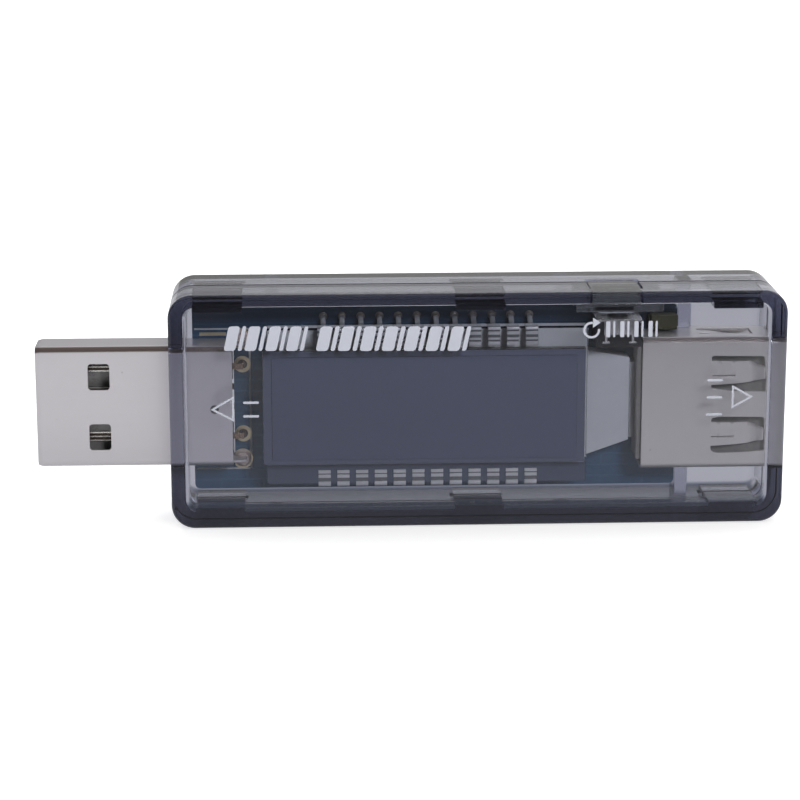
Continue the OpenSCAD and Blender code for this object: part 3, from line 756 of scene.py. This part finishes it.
def hook_parts(x, top):
    """Root along the wall, blade past the parting plane, barb at its end."""
    def level(z):
        return CASE_TOP - z if top else z

    barb = [(1.5, level(1.5)), (1.5, level(WALL - 0.35)), (1.75, level(WALL - 0.35)),
            (2.27, level(1.4)), (2.27, level(1.6))]
    return (
        cuboid(span(x, HOOK_HALF), (CASE_FRONT + WALL - 0.2, PARTING - PARTING_GAP),
               sorted((level(HOOK_DEPTH), level(WALL - 0.3))), 0.1),
        cuboid(span(x, HOOK_HALF), (-1.0, HOOK_END),
               sorted((level(HOOK_DEPTH), level(WALL + 0.1))), 0.08),
        extrude("x", barb, span(x, HOOK_HALF - 0.1)))


def case_front():
    mesh = case_half((CASE_FRONT, PARTING - PARTING_GAP), (0.42, 0.12))
    cavity = []
    for y, d in fillet_stations((CASE_FRONT + WALL, PARTING + 1), (1.25, 0.0), 10):
        cavity.append((y, round_rect(span(0, CASE_HALF - WALL - 0.55 * d),
                                     (WALL + d, CASE_TOP - WALL - 0.08 * d), 1.4 - 0.5 * d, 14)))
    mesh = cut(mesh, loft("y", cavity))
    for x in HOOK_X:
        for top in (True, False):
            mesh = fuse(mesh, *hook_parts(x, top))
    return bevel_mesh(cut(mesh, *openings()), CASE_BEVEL, 40)


def case_rear():
    mesh = case_half((PARTING + PARTING_GAP, CASE_REAR), (0.12, 0.42))
    mesh = cut(mesh, prism("y", span(0, CASE_HALF - WALL), (WALL, CASE_TOP - WALL), 1.1,
                           (PARTING - 1, CASE_REAR - WALL), (0.0, 0.6),
                           corner_steps=14, fillet_steps=6))
    # ribs above and below the socket, then four short posts behind the board
    floor_y = CASE_REAR - WALL + 0.2
    rib_low, rib_high = span(PORT_Z, SOCKET_SIZE[1] / 2 + 0.08)
    for z_span in ((rib_high, CASE_TOP - WALL + 0.3), (WALL - 0.3, rib_low)):
        mesh = fuse(mesh, cuboid((20.05, 21.35), (1.2, floor_y), z_span, 0.1))
    for x in (-20.6, 8.2):
        for z_span in ((2.6, 4.2), (18.85, 20.65)):
            mesh = fuse(mesh, cuboid((x, x + 1.4), (BOARD_REAR + 0.02, floor_y), z_span, 0.12))
    # pockets for the hooks' barbs
    for x in HOOK_X:
        for z_span in ((CASE_TOP - WALL - 0.2, CASE_TOP - WALL + 0.5), (WALL - 0.5, WALL + 0.2)):
            mesh = cut(mesh, cuboid(span(x, HOOK_HALF + 0.2), (1.4, 2.45), z_span))
    return bevel_mesh(cut(mesh, *openings()), CASE_BEVEL, 40)


def button():
    """Cap in the case's opening, flange under it and a tapered foot below."""
    cap = prism("z", span(BUTTON_X, BUTTON_HALF), span(BUTTON_Y, BUTTON_HALF), 0.6, (21.3, 23.0),
                (0.0, 0.16), corner_steps=8, fillet_steps=4)
    flange = cuboid((9.4, 17.9), (-4.15, 0.45), (20.95, 21.75), 0.1)
    foot = extrude("y", [(11.35, 21.0), (11.75, 20.57), (15.15, 20.57), (15.55, 21.0)],
                   span(BUTTON_Y, 1.5))
    return bevel_mesh(fuse(cap, flange, bevel_mesh(foot, 0.05)), 0.04, 40)


piece("case_front", case_front(), "smoke", "front_shell")
piece("case_rear", case_rear(), "smoke", "rear_shell")
piece("reset_button_cap", button(), "smoke_button", "reset_button",
      body="button")

# ------------------------------------------------------------- connectors


def sheet_tube(x_span, size, radius, lead=0.0, lead_length=0.5):
    """Drawn sheet tube along X; a lead turns its free end, at the lower x, in a little."""
    start, end = x_span
    if lead > 0:
        stations = [(start + lead_length * q, lead * (1 - math.sin(q * math.pi / 2)))
                    for q in (k / 4.0 for k in range(5))]
    else:
        stations = [(start, 0.0)]
    stations.append((end, 0.0))
    y_span, z_span = span(PORT_Y, size[0] / 2), span(PORT_Z, size[1] / 2)

    def loops(stations, depth):
        return [(x, round_rect(inset(y_span, depth + d), inset(z_span, depth + d),
                               radius - depth, 8)) for x, d in stations]

    skin = loops(stations, 0.0) + loops(stations[::-1], SHEET)
    return loft("x", skin + skin[:1], capped=False)


def plug_shell():
    mesh = sheet_tube((-42.8, -23.8), PLUG_SIZE, 0.64, lead=0.11, lead_length=0.55)
    for side in (-1, 1):
        window = prism("y", (-37.75, -35.65), span(PORT_Z + side * 3.0, 1.3), 0.32, (-6, 6),
                       corner_steps=6)
        mesh = cut(mesh, window)
    # folded seam on the rear face: a fine groove with one dovetail, as (x, z)
    seam = [(-43.2, PORT_Z), (-36.2, PORT_Z), (-35.6, PORT_Z + 0.8), (-33.4, PORT_Z + 0.8),
            (-32.8, PORT_Z), (-25.4, PORT_Z)]
    mesh = cut(
        mesh,
        # round hole in the front face and notch in the rear face
        prism("y", (-25.97, -25.13), (PORT_Z - 0.67, PORT_Z + 0.17), 0.419, (-6, -1),
              corner_steps=8),
        cuboid((-25.3, -22.8), (1, 3), span(PORT_Z, 1.8)),
        extrude("y", strip(seam, 0.05), (1.72, 2.2)))
    parts = [bevel_mesh(mesh, 0.035, 40)]
    # board tab on either side, as (x, y)
    tab = [(-24.3, -1.4), (-22.55, -1.0), (-22.55, 1.9), (-22.7, 2.05), (-23.2, 2.05),
           (-23.35, 1.9), (-23.35, 0.2), (-24.3, 0.2)]
    for side in (-1, 1):
        z = PORT_Z + side * (PLUG_SIZE[1] - SHEET) / 2
        parts.append(bevel_mesh(extrude("z", tab, span(z, 0.14)), 0.03))
    return join(parts)


# windows round the socket's front and rear springs, as (x, z)
WINDOWS = (
    [(22.8, 13.12), (24.6, 12.83), (26.8, 12.76), (28.37, 12.71), (27.95, 16.24), (22.8, 16.32)],
    [(22.9, 6.85), (23.4, 6.6), (25.5, 6.62), (28.3, 6.8), (28.1, 10.16), (23.6, 10.22),
     (22.9, 10.05)],
)


def tongue(path, centre_z):
    """A tapering spring leaf that follows path, 2.4 wide at its root and 1.2 at its tip."""
    outline = strip(path, SPRING)
    n = len(outline)

    def ramp(x, start, length):
        return min(1.0, max(0.0, (x - start) / length))

    verts = []
    for side in (-1, 1):
        for x, y in outline:
            half = 1.2 - 0.14 * ramp(x, 23.2, 3.4) - 0.46 * ramp(x, 26.6, 1.35)
            verts.append((x, y, centre_z + side * half))
    faces = [(i, (i + 1) % n, n + (i + 1) % n, n + i) for i in range(n)]
    for i in range(n // 2 - 1):
        faces.append((i, i + 1, n - 2 - i, n - 1 - i))
        faces.append((n + i, n + i + 1, 2 * n - 2 - i, 2 * n - 1 - i))
    return solid(verts, faces)


def socket_shell():
    half_y, half_z = ((side - SHEET) / 2 for side in SOCKET_SIZE)
    mesh = sheet_tube((16.05, CASE_HALF), SOCKET_SIZE, 0.6)
    mesh = cut(mesh, cuboid((15, 16.7), (0.55, 4), (0, 25)),
               *[extrude("y", rounded(window, 0.22, 3), (-6, 6)) for window in WINDOWS],
               # windows above and below for the side springs
               cuboid((21.8, 27.0), span(PORT_Y, 1.2), (0, 25)))
    parts = [bevel_mesh(mesh, 0.035, 40)]
    # spring tongues, front and rear: rooted at the low-x end, bowed in, tip curled out
    for side in (-1, 1):
        y = PORT_Y + side * half_y
        path = smooth_path([(22.3, y), (23.6, y), (25.2, y - side * 0.10), (26.7, y - side * 0.50),
                            (27.35, y - side * 0.30), (28.0, y + side * 0.30)], 0.6, 5)
        for z in (14.63, 8.50):
            slot = cuboid((22.9, 25.15), span(y, 1), (z - 0.31, z - 0.24))
            parts.append(bevel_mesh(cut(tongue(path, z), slot), 0.02, 50))
    # side springs, each with a foot on the rear of the board
    for side in (-1, 1):
        z = PORT_Z + side * half_z
        path = smooth_path([(21.5, z), (22.4, z), (24.6, z - side * 0.30), (25.9, z - side * 0.34),
                            (26.85, z + side * 0.02)], 0.6, 5)
        parts.append(bevel_mesh(extrude("y", strip(path, SPRING), span(PORT_Y, 0.8)), 0.03, 50))
        parts.append(cuboid((17.4, 19.4), (BOARD_REAR + 0.02, BOARD_REAR + 0.02 + SHEET),
                            span(PORT_Z + side * 7.225, 0.8), 0.04))
    return join(parts)


piece("plug_shell", plug_shell(), "nickel", "usb_plug_shell", smooth=40)
piece("socket_shell", socket_shell(), "socket", "usb_socket_shell", smooth=40)
# name, CAD node, material, slot, bevel
for row in (
    ("plug_insulator", "usb_plug_insulator", "grey", "black_plastic", 0.08),
    ("socket_insulator", "usb_socket_insulator", "socket_grey", "black_plastic", 0.08),
    ("plug_contacts", "usb_plug_contacts", "contact_plug", "gold_plate", 0.03),
    ("socket_contacts", "usb_socket_contacts", "contact_socket", "gold_plate", 0.03),
    ("board", "pcb", "mask", "board_laminate", 0.03),
    ("board_pads", "pcb_pads", "gold", "gold_plate", 0.0),
):
    cad_piece(*row)

# ----------------------------------------------------------------- solder


def bead(x, z, y, height, foot, crown, side, segments=20):
    """Solder fillet from radius foot at y up to a round crown, towards side of Y."""
    profile = []
    for k in range(9):
        q = k / 8.0
        profile.append((crown + (foot - crown) * (1 - q) ** 2.2, height * q * 0.86))
    for k in range(1, 5):
        angle = math.radians(90.0 * k / 4)
        profile.append((crown * math.cos(angle), height * 0.86 + height * 0.14 * math.sin(angle)))
    verts, faces = [], []
    for radius, rise in profile[:-1]:
        for i in range(segments):
            angle = 2 * math.pi * i / segments
            verts.append((x + radius * math.cos(angle), y + side * rise,
                          z + radius * math.sin(angle)))
    tip = len(verts)
    verts.append((x, y + side * profile[-1][1], z))
    last = (len(profile) - 2) * segments
    for base in range(0, last, segments):
        for i in range(segments):
            j = (i + 1) % segments
            faces.append((base + i, base + j, base + segments + j, base + segments + i))
    for i in range(segments):
        faces.append((last + i, last + (i + 1) % segments, tip))
    faces.append(tuple(range(segments)))
    return solid(verts, faces)


def rear_bead(x, z, height, foot, crown):
    return bead(x, z, BOARD_REAR, height, foot, crown, 1)


def rear_beads():
    """Display pins, socket pins and the two joints near the crystal's height, behind the board."""
    beads = [rear_bead(x, z, 0.55, 0.62, 0.28)
             for x in DISPLAY_PIN_X for z in (PIN_ROW_TOP, PIN_ROW_LOW)]
    beads += [rear_bead(15.8, PORT_Z + side * offset, 0.5, 0.55, 0.28)
              for side in (-1, 1) for offset in (PIN_INNER, PIN_OUTER)]
    return beads + [rear_bead(x, 17.075, 0.5, 0.6, 0.3) for x in (12.5, 15.2)]


def upper_beads():
    """Front joints of the upper display pins, each a little different."""
    return [bead(x, PIN_ROW_TOP, BOARD_FRONT, 0.28 * (1 + 0.18 * math.sin(i * 2.3 + 0.4)), 0.42,
                 0.28 + 0.03 * math.sin(i * 1.7), -1) for i, x in enumerate(DISPLAY_PIN_X)]


def tab_beads():
    """Joints of the plug's two tabs, front and rear."""
    beads = []
    for side in (-1, 1):
        z = PORT_Z + side * 6.02
        beads.append(bead(-22.95, z, BOARD_FRONT - 0.04, 0.34, 0.88, 0.62, -1))
        beads.append(rear_bead(-22.95, z, 0.6, 0.9, 0.45))
    return beads


def plug_pin_beads():
    return [bead(-22.85, PORT_Z + side * PIN_OUTER, BOARD_FRONT + 0.02, 0.16, 0.47, 0.34, -1)
            for side in (-1, 1)]


piece("plug_pin_solder", join(plug_pin_beads()), "pin_fill", smooth=50)
piece("solder", join(rear_beads()), "solder", "solder_joints", smooth=50)
# the upper front joints take the darker solder, painted shade
piece("solder_upper", join(upper_beads()), "solder_shaded", smooth=50)
piece("solder_tabs", join(tab_beads()), "tab_solder", smooth=50)

# ------------------------------------------------------------ reset switch
cad_piece("tact_body", "switch_body", "switch", "black_plastic", 0.08)
cad_piece("tact_cover", "switch_cover", "tin", "tinned_steel", 0.03)
cad_piece("tact_stem", "switch_stem", "switch", "black_plastic", 0.06, angle=40, body="stem")
dome = cad_piece("tact_dome", "switch_dome", "tin", "spring_steel", 0.0)
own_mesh(dome)
cad_piece("tact_terminals", "switch_terminals", "tin", "tinned_steel", 0.04)

# ---------------------------------------------------------------- display


# a seal frame round the display, made pale blue as painted light over the margin that lies in shade
def display_border():
    outer = round_rect((-20.8, 10.4), (6.05, 17.3), 0.2, 3)
    inner = round_rect((-19.98, 9.63), (6.52, 16.73), 0.12, 3)
    return ring_plate(outer, inner, (-3.935, -3.905))


# painted light: a pale bluish coat on the rear glass's ledge, lighter than the shaded board behind
# it
def display_ledge():
    return join([prism("y", (-20.42, 10.67), (3.84, 5.98), 0.1, (-2.84, -2.815), corner_steps=2)])


def clips(fold_z, edge_z, hole_z, arm, side, grooves):
    """A row of folded clips and the legs that run back through the board at hole_z.

    side is 1 for the upper row and -1 for the lower. The front arm reaches arm past edge_z
    and has cross grooves, given as (start, end) distances from edge_z.
    """
    rear, front = -1.7, -2.8
    path = smooth_path([(rear + 0.12, edge_z - side * 0.9), (rear + 0.12, fold_z),
                        (front - 0.12, fold_z), (front - 0.12, edge_z - side * arm)], 0.14, 4)
    leg = smooth_path([(rear + 0.05, fold_z), (-1.0, fold_z), (0.1, hole_z), (2.1, hole_z)],
                      0.3, 4)
    arms, cutters, legs = [], [], []
    for x in DISPLAY_PIN_X:
        arms.append(extrude("x", strip(path, 0.2), span(x, 0.6)))
        legs.append(extrude("x", strip(leg, 0.2), span(x, 0.25)))
        for groove in grooves:
            z_span = sorted(edge_z - side * distance for distance in groove)
            cutters.append(cuboid(span(x, 1.0), (-3.5, front - 0.09), z_span))
    mesh = cut(join(arms), join(cutters))
    return join([bevel_mesh(mesh, 0.03, 40), bevel_mesh(join(legs), 0.03, 50)])


cad_piece("display_front_glass", "lcd_front_glass", "glass", "clear_glass", 0.06)
cad_piece("display_rear_glass", "lcd_rear_glass", "glass", "clear_glass", 0.06)
cad_piece("display_front_film", "lcd_front_polariser", "film_front", "polariser_film", 0.03)
piece("display_border", display_border(), "border", smooth=40)
piece("display_ledge", display_ledge(), "ledge", smooth=40)
cad_piece("display_rear_film", "lcd_rear_polariser", "film_rear", "polariser_film", 0.03)
piece("display_clips_upper",
      clips(19.30, 19.16, PIN_ROW_TOP, 1.75, 1, [(0.08, 0.26), (0.56, 0.86), (1.06, 1.26)]),
      "clip", "lcd_pins_upper")
piece("display_clips_lower",
      clips(PIN_ROW_LOW, 3.75, PIN_ROW_LOW, 1.45, -1, [(0.30, 0.68), (1.0, 1.12)]),
      "clip", "lcd_pins_lower")
cad_piece("light_guide", "backlight_guide", "guide", "white_acrylic", 0.12, segments=3)
cad_piece("light_bar", "backlight_led", "led", "white_led", 0.04)

# -------------------------------------------------------- rear components
# CAD node, material, slot, bevel
for node, *rest in (
    ("microcontroller", "chip", "chip_epoxy", 0.03),
    ("memory_chip", "chip", "chip_epoxy", 0.03),
    ("current_sense_amplifier", "chip", "chip_epoxy", 0.03),
    ("voltage_regulator", "chip", "chip_epoxy", 0.03),
    ("shunt_resistor", "resistor", "chip_epoxy", 0.05),
    ("crystal", "tin", "nickel_plate", 0.06),
    ("chip_capacitors", "ceramic", "tan_ceramic", 0.04),
    ("chip_resistors", "resistor", "chip_epoxy", 0.04),
    ("tantalum_capacitor", "olive", "olive_epoxy", 0.06),
):
    cad_piece(node + "_part", node, *rest)

# --------------------------------------------------------- printed marks
INK_SPAN = (CASE_FRONT - 0.018, CASE_FRONT - 0.002)
HEADER_X = -24.5


def plate(outline):
    return extrude("y", outline, INK_SPAN)


def bar(x_span, z_span, radius, lean=0.0):
    """A rounded bar whose top is shifted by lean times its height."""
    (left, right), (low, high) = x_span, z_span
    shift = lean * (high - low)
    return plate(rounded([(left, low), (right, low), (right + shift, high), (left + shift, high)],
                         radius))


def triangle_ring(corners, width):
    """Hollow triangle with an even stroke."""
    first, second, third = corners = [np.array(corner, float) for corner in corners]
    sides = [np.linalg.norm(second - third), np.linalg.norm(first - third),
             np.linalg.norm(first - second)]
    centre = sum(side * corner for side, corner in zip(sides, corners)) / sum(sides)
    across, along = second - first, third - first
    radius = abs(across[0] * along[1] - across[1] * along[0]) / sum(sides)
    shrink = (radius - width) / radius
    inner = [tuple(centre + (corner - centre) * shrink) for corner in corners]
    return ring_plate([tuple(corner) for corner in corners], inner, INK_SPAN)


def header_bars():
    """Two groups of slanted bars, wide and narrow in turn, sinking slightly to the right."""
    bars = []
    for start, end, count in ((HEADER_X, -16.9, 4), (-15.7, -1.3, 7)):
        step = (end - start + 0.3) / count
        for i in range(count):
            x = start + i * step
            drop = 0.01 * (x - HEADER_X)
            z_span = (17.72 - drop, 20.12 - drop)
            wide = step * 0.56
            bars.append(bar((x, x + wide), z_span, 0.3, lean=0.22))
            bars.append(bar((x + wide + 0.24, x + step - 0.26), z_span, 0.2, lean=0.22))
    return bars


def reset_marks():
    """A round arrow and a row of short bars for the reset button."""
    x, z = 10.80, 19.42
    angles = [math.radians(78 + 290.0 * k / 28) for k in range(29)]
    outer, inner = ([(x + radius * math.cos(a), z + radius * math.sin(a)) for a in angles]
                    for radius in (0.82, 0.60))
    marks = [plate(outer + inner[::-1]),
             plate([(x + 0.12, z + 0.22), (x + 0.12, z + 1.22), (x + 0.86, z + 0.72)])]
    for i in range(8):
        left = 12.2 + i * 0.68
        width = 0.40 if i % 2 == 0 else 0.2
        marks.append(bar((left, left + width), (18.7, 20.26), 0.1))
    return marks


def flow_marks():
    """Arrows at the two ends, with two strokes by the plug and three by the socket."""
    # arrow corners, then the strokes' X span, first Z, pitch and count
    marks = []
    for corners, x_span, first, pitch, count in (
        (((-25.85, 11.95), (-23.58, 13.28), (-23.58, 10.7)), (-22.7, -21.2), 11.25, 1.35, 2),
        (((26.6, 12.68), (24.52, 11.5), (24.52, 13.86)), (22.1, 23.6), 10.95, 1.7, 3),
    ):
        marks.append(triangle_ring(corners, 0.2))
        marks += [bar(x_span, span(first + k * pitch, 0.12), 0.08) for k in range(count)]
    return marks


def board_legend():
    """Silkscreen on the front of the board: three sides round the plug and an arc."""
    left, right, low, high = -27.5, -22.12, 4.55, 18.65
    arc = [(-23.35 + 0.95 * math.cos(math.radians(a)), 15.0 + 0.95 * math.sin(math.radians(a)))
           for a in range(115, 246, 10)]
    # path of (x, z), width
    lines = (([(right, low), (right, high)], 0.2), ([(left, low), (-22.2, low)], 0.16),
             ([(left, high), (-22.2, high)], 0.16), (arc, 0.14))
    return join([extrude("y", strip(path, width), (BOARD_FRONT - 0.025, BOARD_FRONT))
                 for path, width in lines])


piece("printed_marks", join(header_bars() + reset_marks() + flow_marks()), "ink", smooth=40)
piece("board_legend", board_legend(), "silk", smooth=40)

# ------------------------------------------------------------------ stage


def floor_paper():
    """White paper that shows differently to the camera, in mirrors and through the case: to mirrors
    and to the case it is a painted glow with a painted shadow.
    """
    tree = material_tree("floor_paper")
    paper = tree.ramp(tree.noise(scale=900.0, rough=0.6),
                      [(0.3, (0.80, 0.80, 0.80)), (0.7, (0.84, 0.84, 0.84))])
    diffuse = tree.add("BsdfDiffuse", Color=paper)
    glow = tree.add("Emission", Color=(1, 1, 1), Strength=0.50)
    seen = tree.add("AddShader", {0: diffuse, 1: glow})
    # painted reflection: mirrored in the case the floor glows pale close by, dark where the table
    # edge would be, grey beyond
    x, y, _ = tree.axes(tree.position())
    near = tree.remap(y, over=(-0.094, -0.074), to=(0.15, 0.62))
    far = tree.remap(y, over=(-0.260, -0.140), to=(0.38, 0.0))
    mirrored = tree.add("Emission", Color=(1.0, 1.0, 1.03), Strength=tree.math("ADD", near, far))
    # painted light and shadow seen through the case: a glow all round and a dim bluish painted
    # shadow right under it
    under = tree.times(
        tree.remap(tree.math("ABSOLUTE", y), over=(0.0055, 0.0085), to=(1.0, 0.0)),
        tree.remap(tree.math("ABSOLUTE", x), over=(0.0295, 0.0325), to=(1.0, 0.0)))
    around = tree.times(tree.math("ADD", near, far), tree.math("SUBTRACT", 1.0, under))
    tint = tree.ramp(under, [(0.2, (1.0, 1.0, 1.03)), (0.9, (0.80, 0.92, 1.20))])
    through = tree.add("Emission", Color=tint,
                       Strength=tree.math("ADD", around, tree.times(under, 0.07)))
    surface = tree.mix_shader(tree.ray("Glossy"), diffuse, mirrored)
    surface = tree.mix_shader(tree.ray("Transmission"), surface, through)
    return tree.finish(tree.mix_shader(tree.ray("Camera"), surface, seen))


bpy.ops.mesh.primitive_circle_add(vertices=96, radius=1.4, fill_type="NGON",
                                  location=(0, 0, -0.00002))
floor = bpy.context.object
floor.name = "floor"
floor.data.materials.append(floor_paper())

# sky brightness as (height, grey): dim in front above the horizon, pale behind
SKY_FRONT = [(0.0, 0.21), (0.12, 0.13), (0.45, 0.09), (0.80, 0.14), (1.0, 0.30)]
SKY_REAR = [(0.0, 0.23), (0.25, 0.245), (0.55, 0.45), (0.80, 0.425), (1.0, 0.275)]


def studio_world():
    """Uneven sky for lighting and mirroring, plain white to the camera."""
    world = bpy.data.worlds.new("studio")
    bpy.context.scene.world = world
    tree = Tree(world, "OutputWorld")
    x, y, z = tree.axes(tree.common("TexCoord", "Generated"))
    front, rear = (tree.ramp(z, [(height, (grey,) * 3) for height, grey in stops])
                   for stops in (SKY_FRONT, SKY_REAR))
    sky = tree.mix_color(tree.remap(y, over=(-0.20, 0.25)), front, rear)
    # brighter towards +X
    sky = tree.dimmed(sky, tree.remap(x, over=(-0.25, 0.25), to=(1.25, 2.6)))
    # rays that have passed through the case see it 0.30 brighter
    strength = tree.math("MULTIPLY_ADD", tree.ray("Transmission"), 0.30, 1.0)
    lighting = tree.add("Background", Color=sky, Strength=strength)
    white = tree.add("Background", Color=(1.0, 1.0, 1.0), Strength=1.0)
    tree.finish(tree.mix_shader(tree.ray("Camera"), lighting, white))
    world.cycles.sampling_method = "MANUAL"
    world.cycles.sample_map_resolution = 256


def softbox(name, location, size, power, hidden_from, target=(0, 0, 0.01)):
    """Rectangular area light in metres and watts, aimed at target."""
    light = bpy.data.lights.new(name, "AREA")
    light.shape = "RECTANGLE"
    light.size, light.size_y = size
    light.energy = power
    lamp = bpy.data.objects.new(name, light)
    lamp.location = location
    aim = Vector(target) - Vector(location)
    lamp.rotation_euler = aim.to_track_quat("-Z", "Y").to_euler()
    bpy.context.scene.collection.objects.link(lamp)
    for ray in hidden_from:
        setattr(lamp, "visible_" + ray, False)


studio_world()
softbox("key", location=(0.18, -0.49, 0.29), size=(0.12, 0.12), power=1.8,
        hidden_from=("glossy",))
softbox("top", location=(-0.10, 0.14, 0.5), size=(0.4, 0.3), power=0.9,
        hidden_from=("glossy", "transmission"))
# these two stand for the light the white floor sends up into the case
for name, y, power in (("floor_fill", -0.165, 1.33), ("floor_fill_rear", 0.165, 0.95)):
    softbox(name, location=(0.0, y, 0.0015), target=(0.0, y, 1.0), size=(0.44, 0.30),
            power=power, hidden_from=("camera", "glossy", "transmission"))
softbox("rear_key", location=(-0.20, 0.46, 0.30), size=(0.14, 0.14), power=1.1,
        hidden_from=("glossy", "transmission"))

# ----------------------------------------------------------------- camera


def add_camera(target, distance, elevation, azimuth, roll, lens):
    """Camera in front of and above target; angles are in degrees, lengths in mm."""
    elevation, azimuth = math.radians(elevation), math.radians(azimuth)
    back = Vector((-math.sin(azimuth) * math.cos(elevation),
                   -math.cos(azimuth) * math.cos(elevation), math.sin(elevation)))
    data = bpy.data.cameras.new("camera")
    data.sensor_width = 36.0
    data.lens = lens
    data.clip_start = 0.01
    data.clip_end = 20
    camera = bpy.data.objects.new("camera", data)
    bpy.context.scene.collection.objects.link(camera)
    camera.location = Vector(target) * MM + back * (distance * MM)
    camera.rotation_mode = "QUATERNION"
    facing = (-back).to_track_quat("-Z", "Y")
    camera.rotation_quaternion = facing @ Quaternion((0, 0, 1), math.radians(roll))
    bpy.context.scene.camera = camera


add_camera(target=(-7.40, 0.0, 11.36), distance=253.8, elevation=13.78, azimuth=2.23,
           roll=-0.08, lens=115.92)

scene = bpy.context.scene
scene.view_settings.view_transform = "Standard"
scene.view_settings.look = "None"
cycles = scene.cycles
cycles.use_denoising = True
cycles.max_bounces = 24
cycles.transmission_bounces = 24
cycles.transparent_max_bounces = 48
cycles.glossy_bounces = 8
cycles.diffuse_bounces = 5
cycles.caustics_reflective = False
cycles.caustics_refractive = False
cycles.sample_clamp_indirect = 6.0
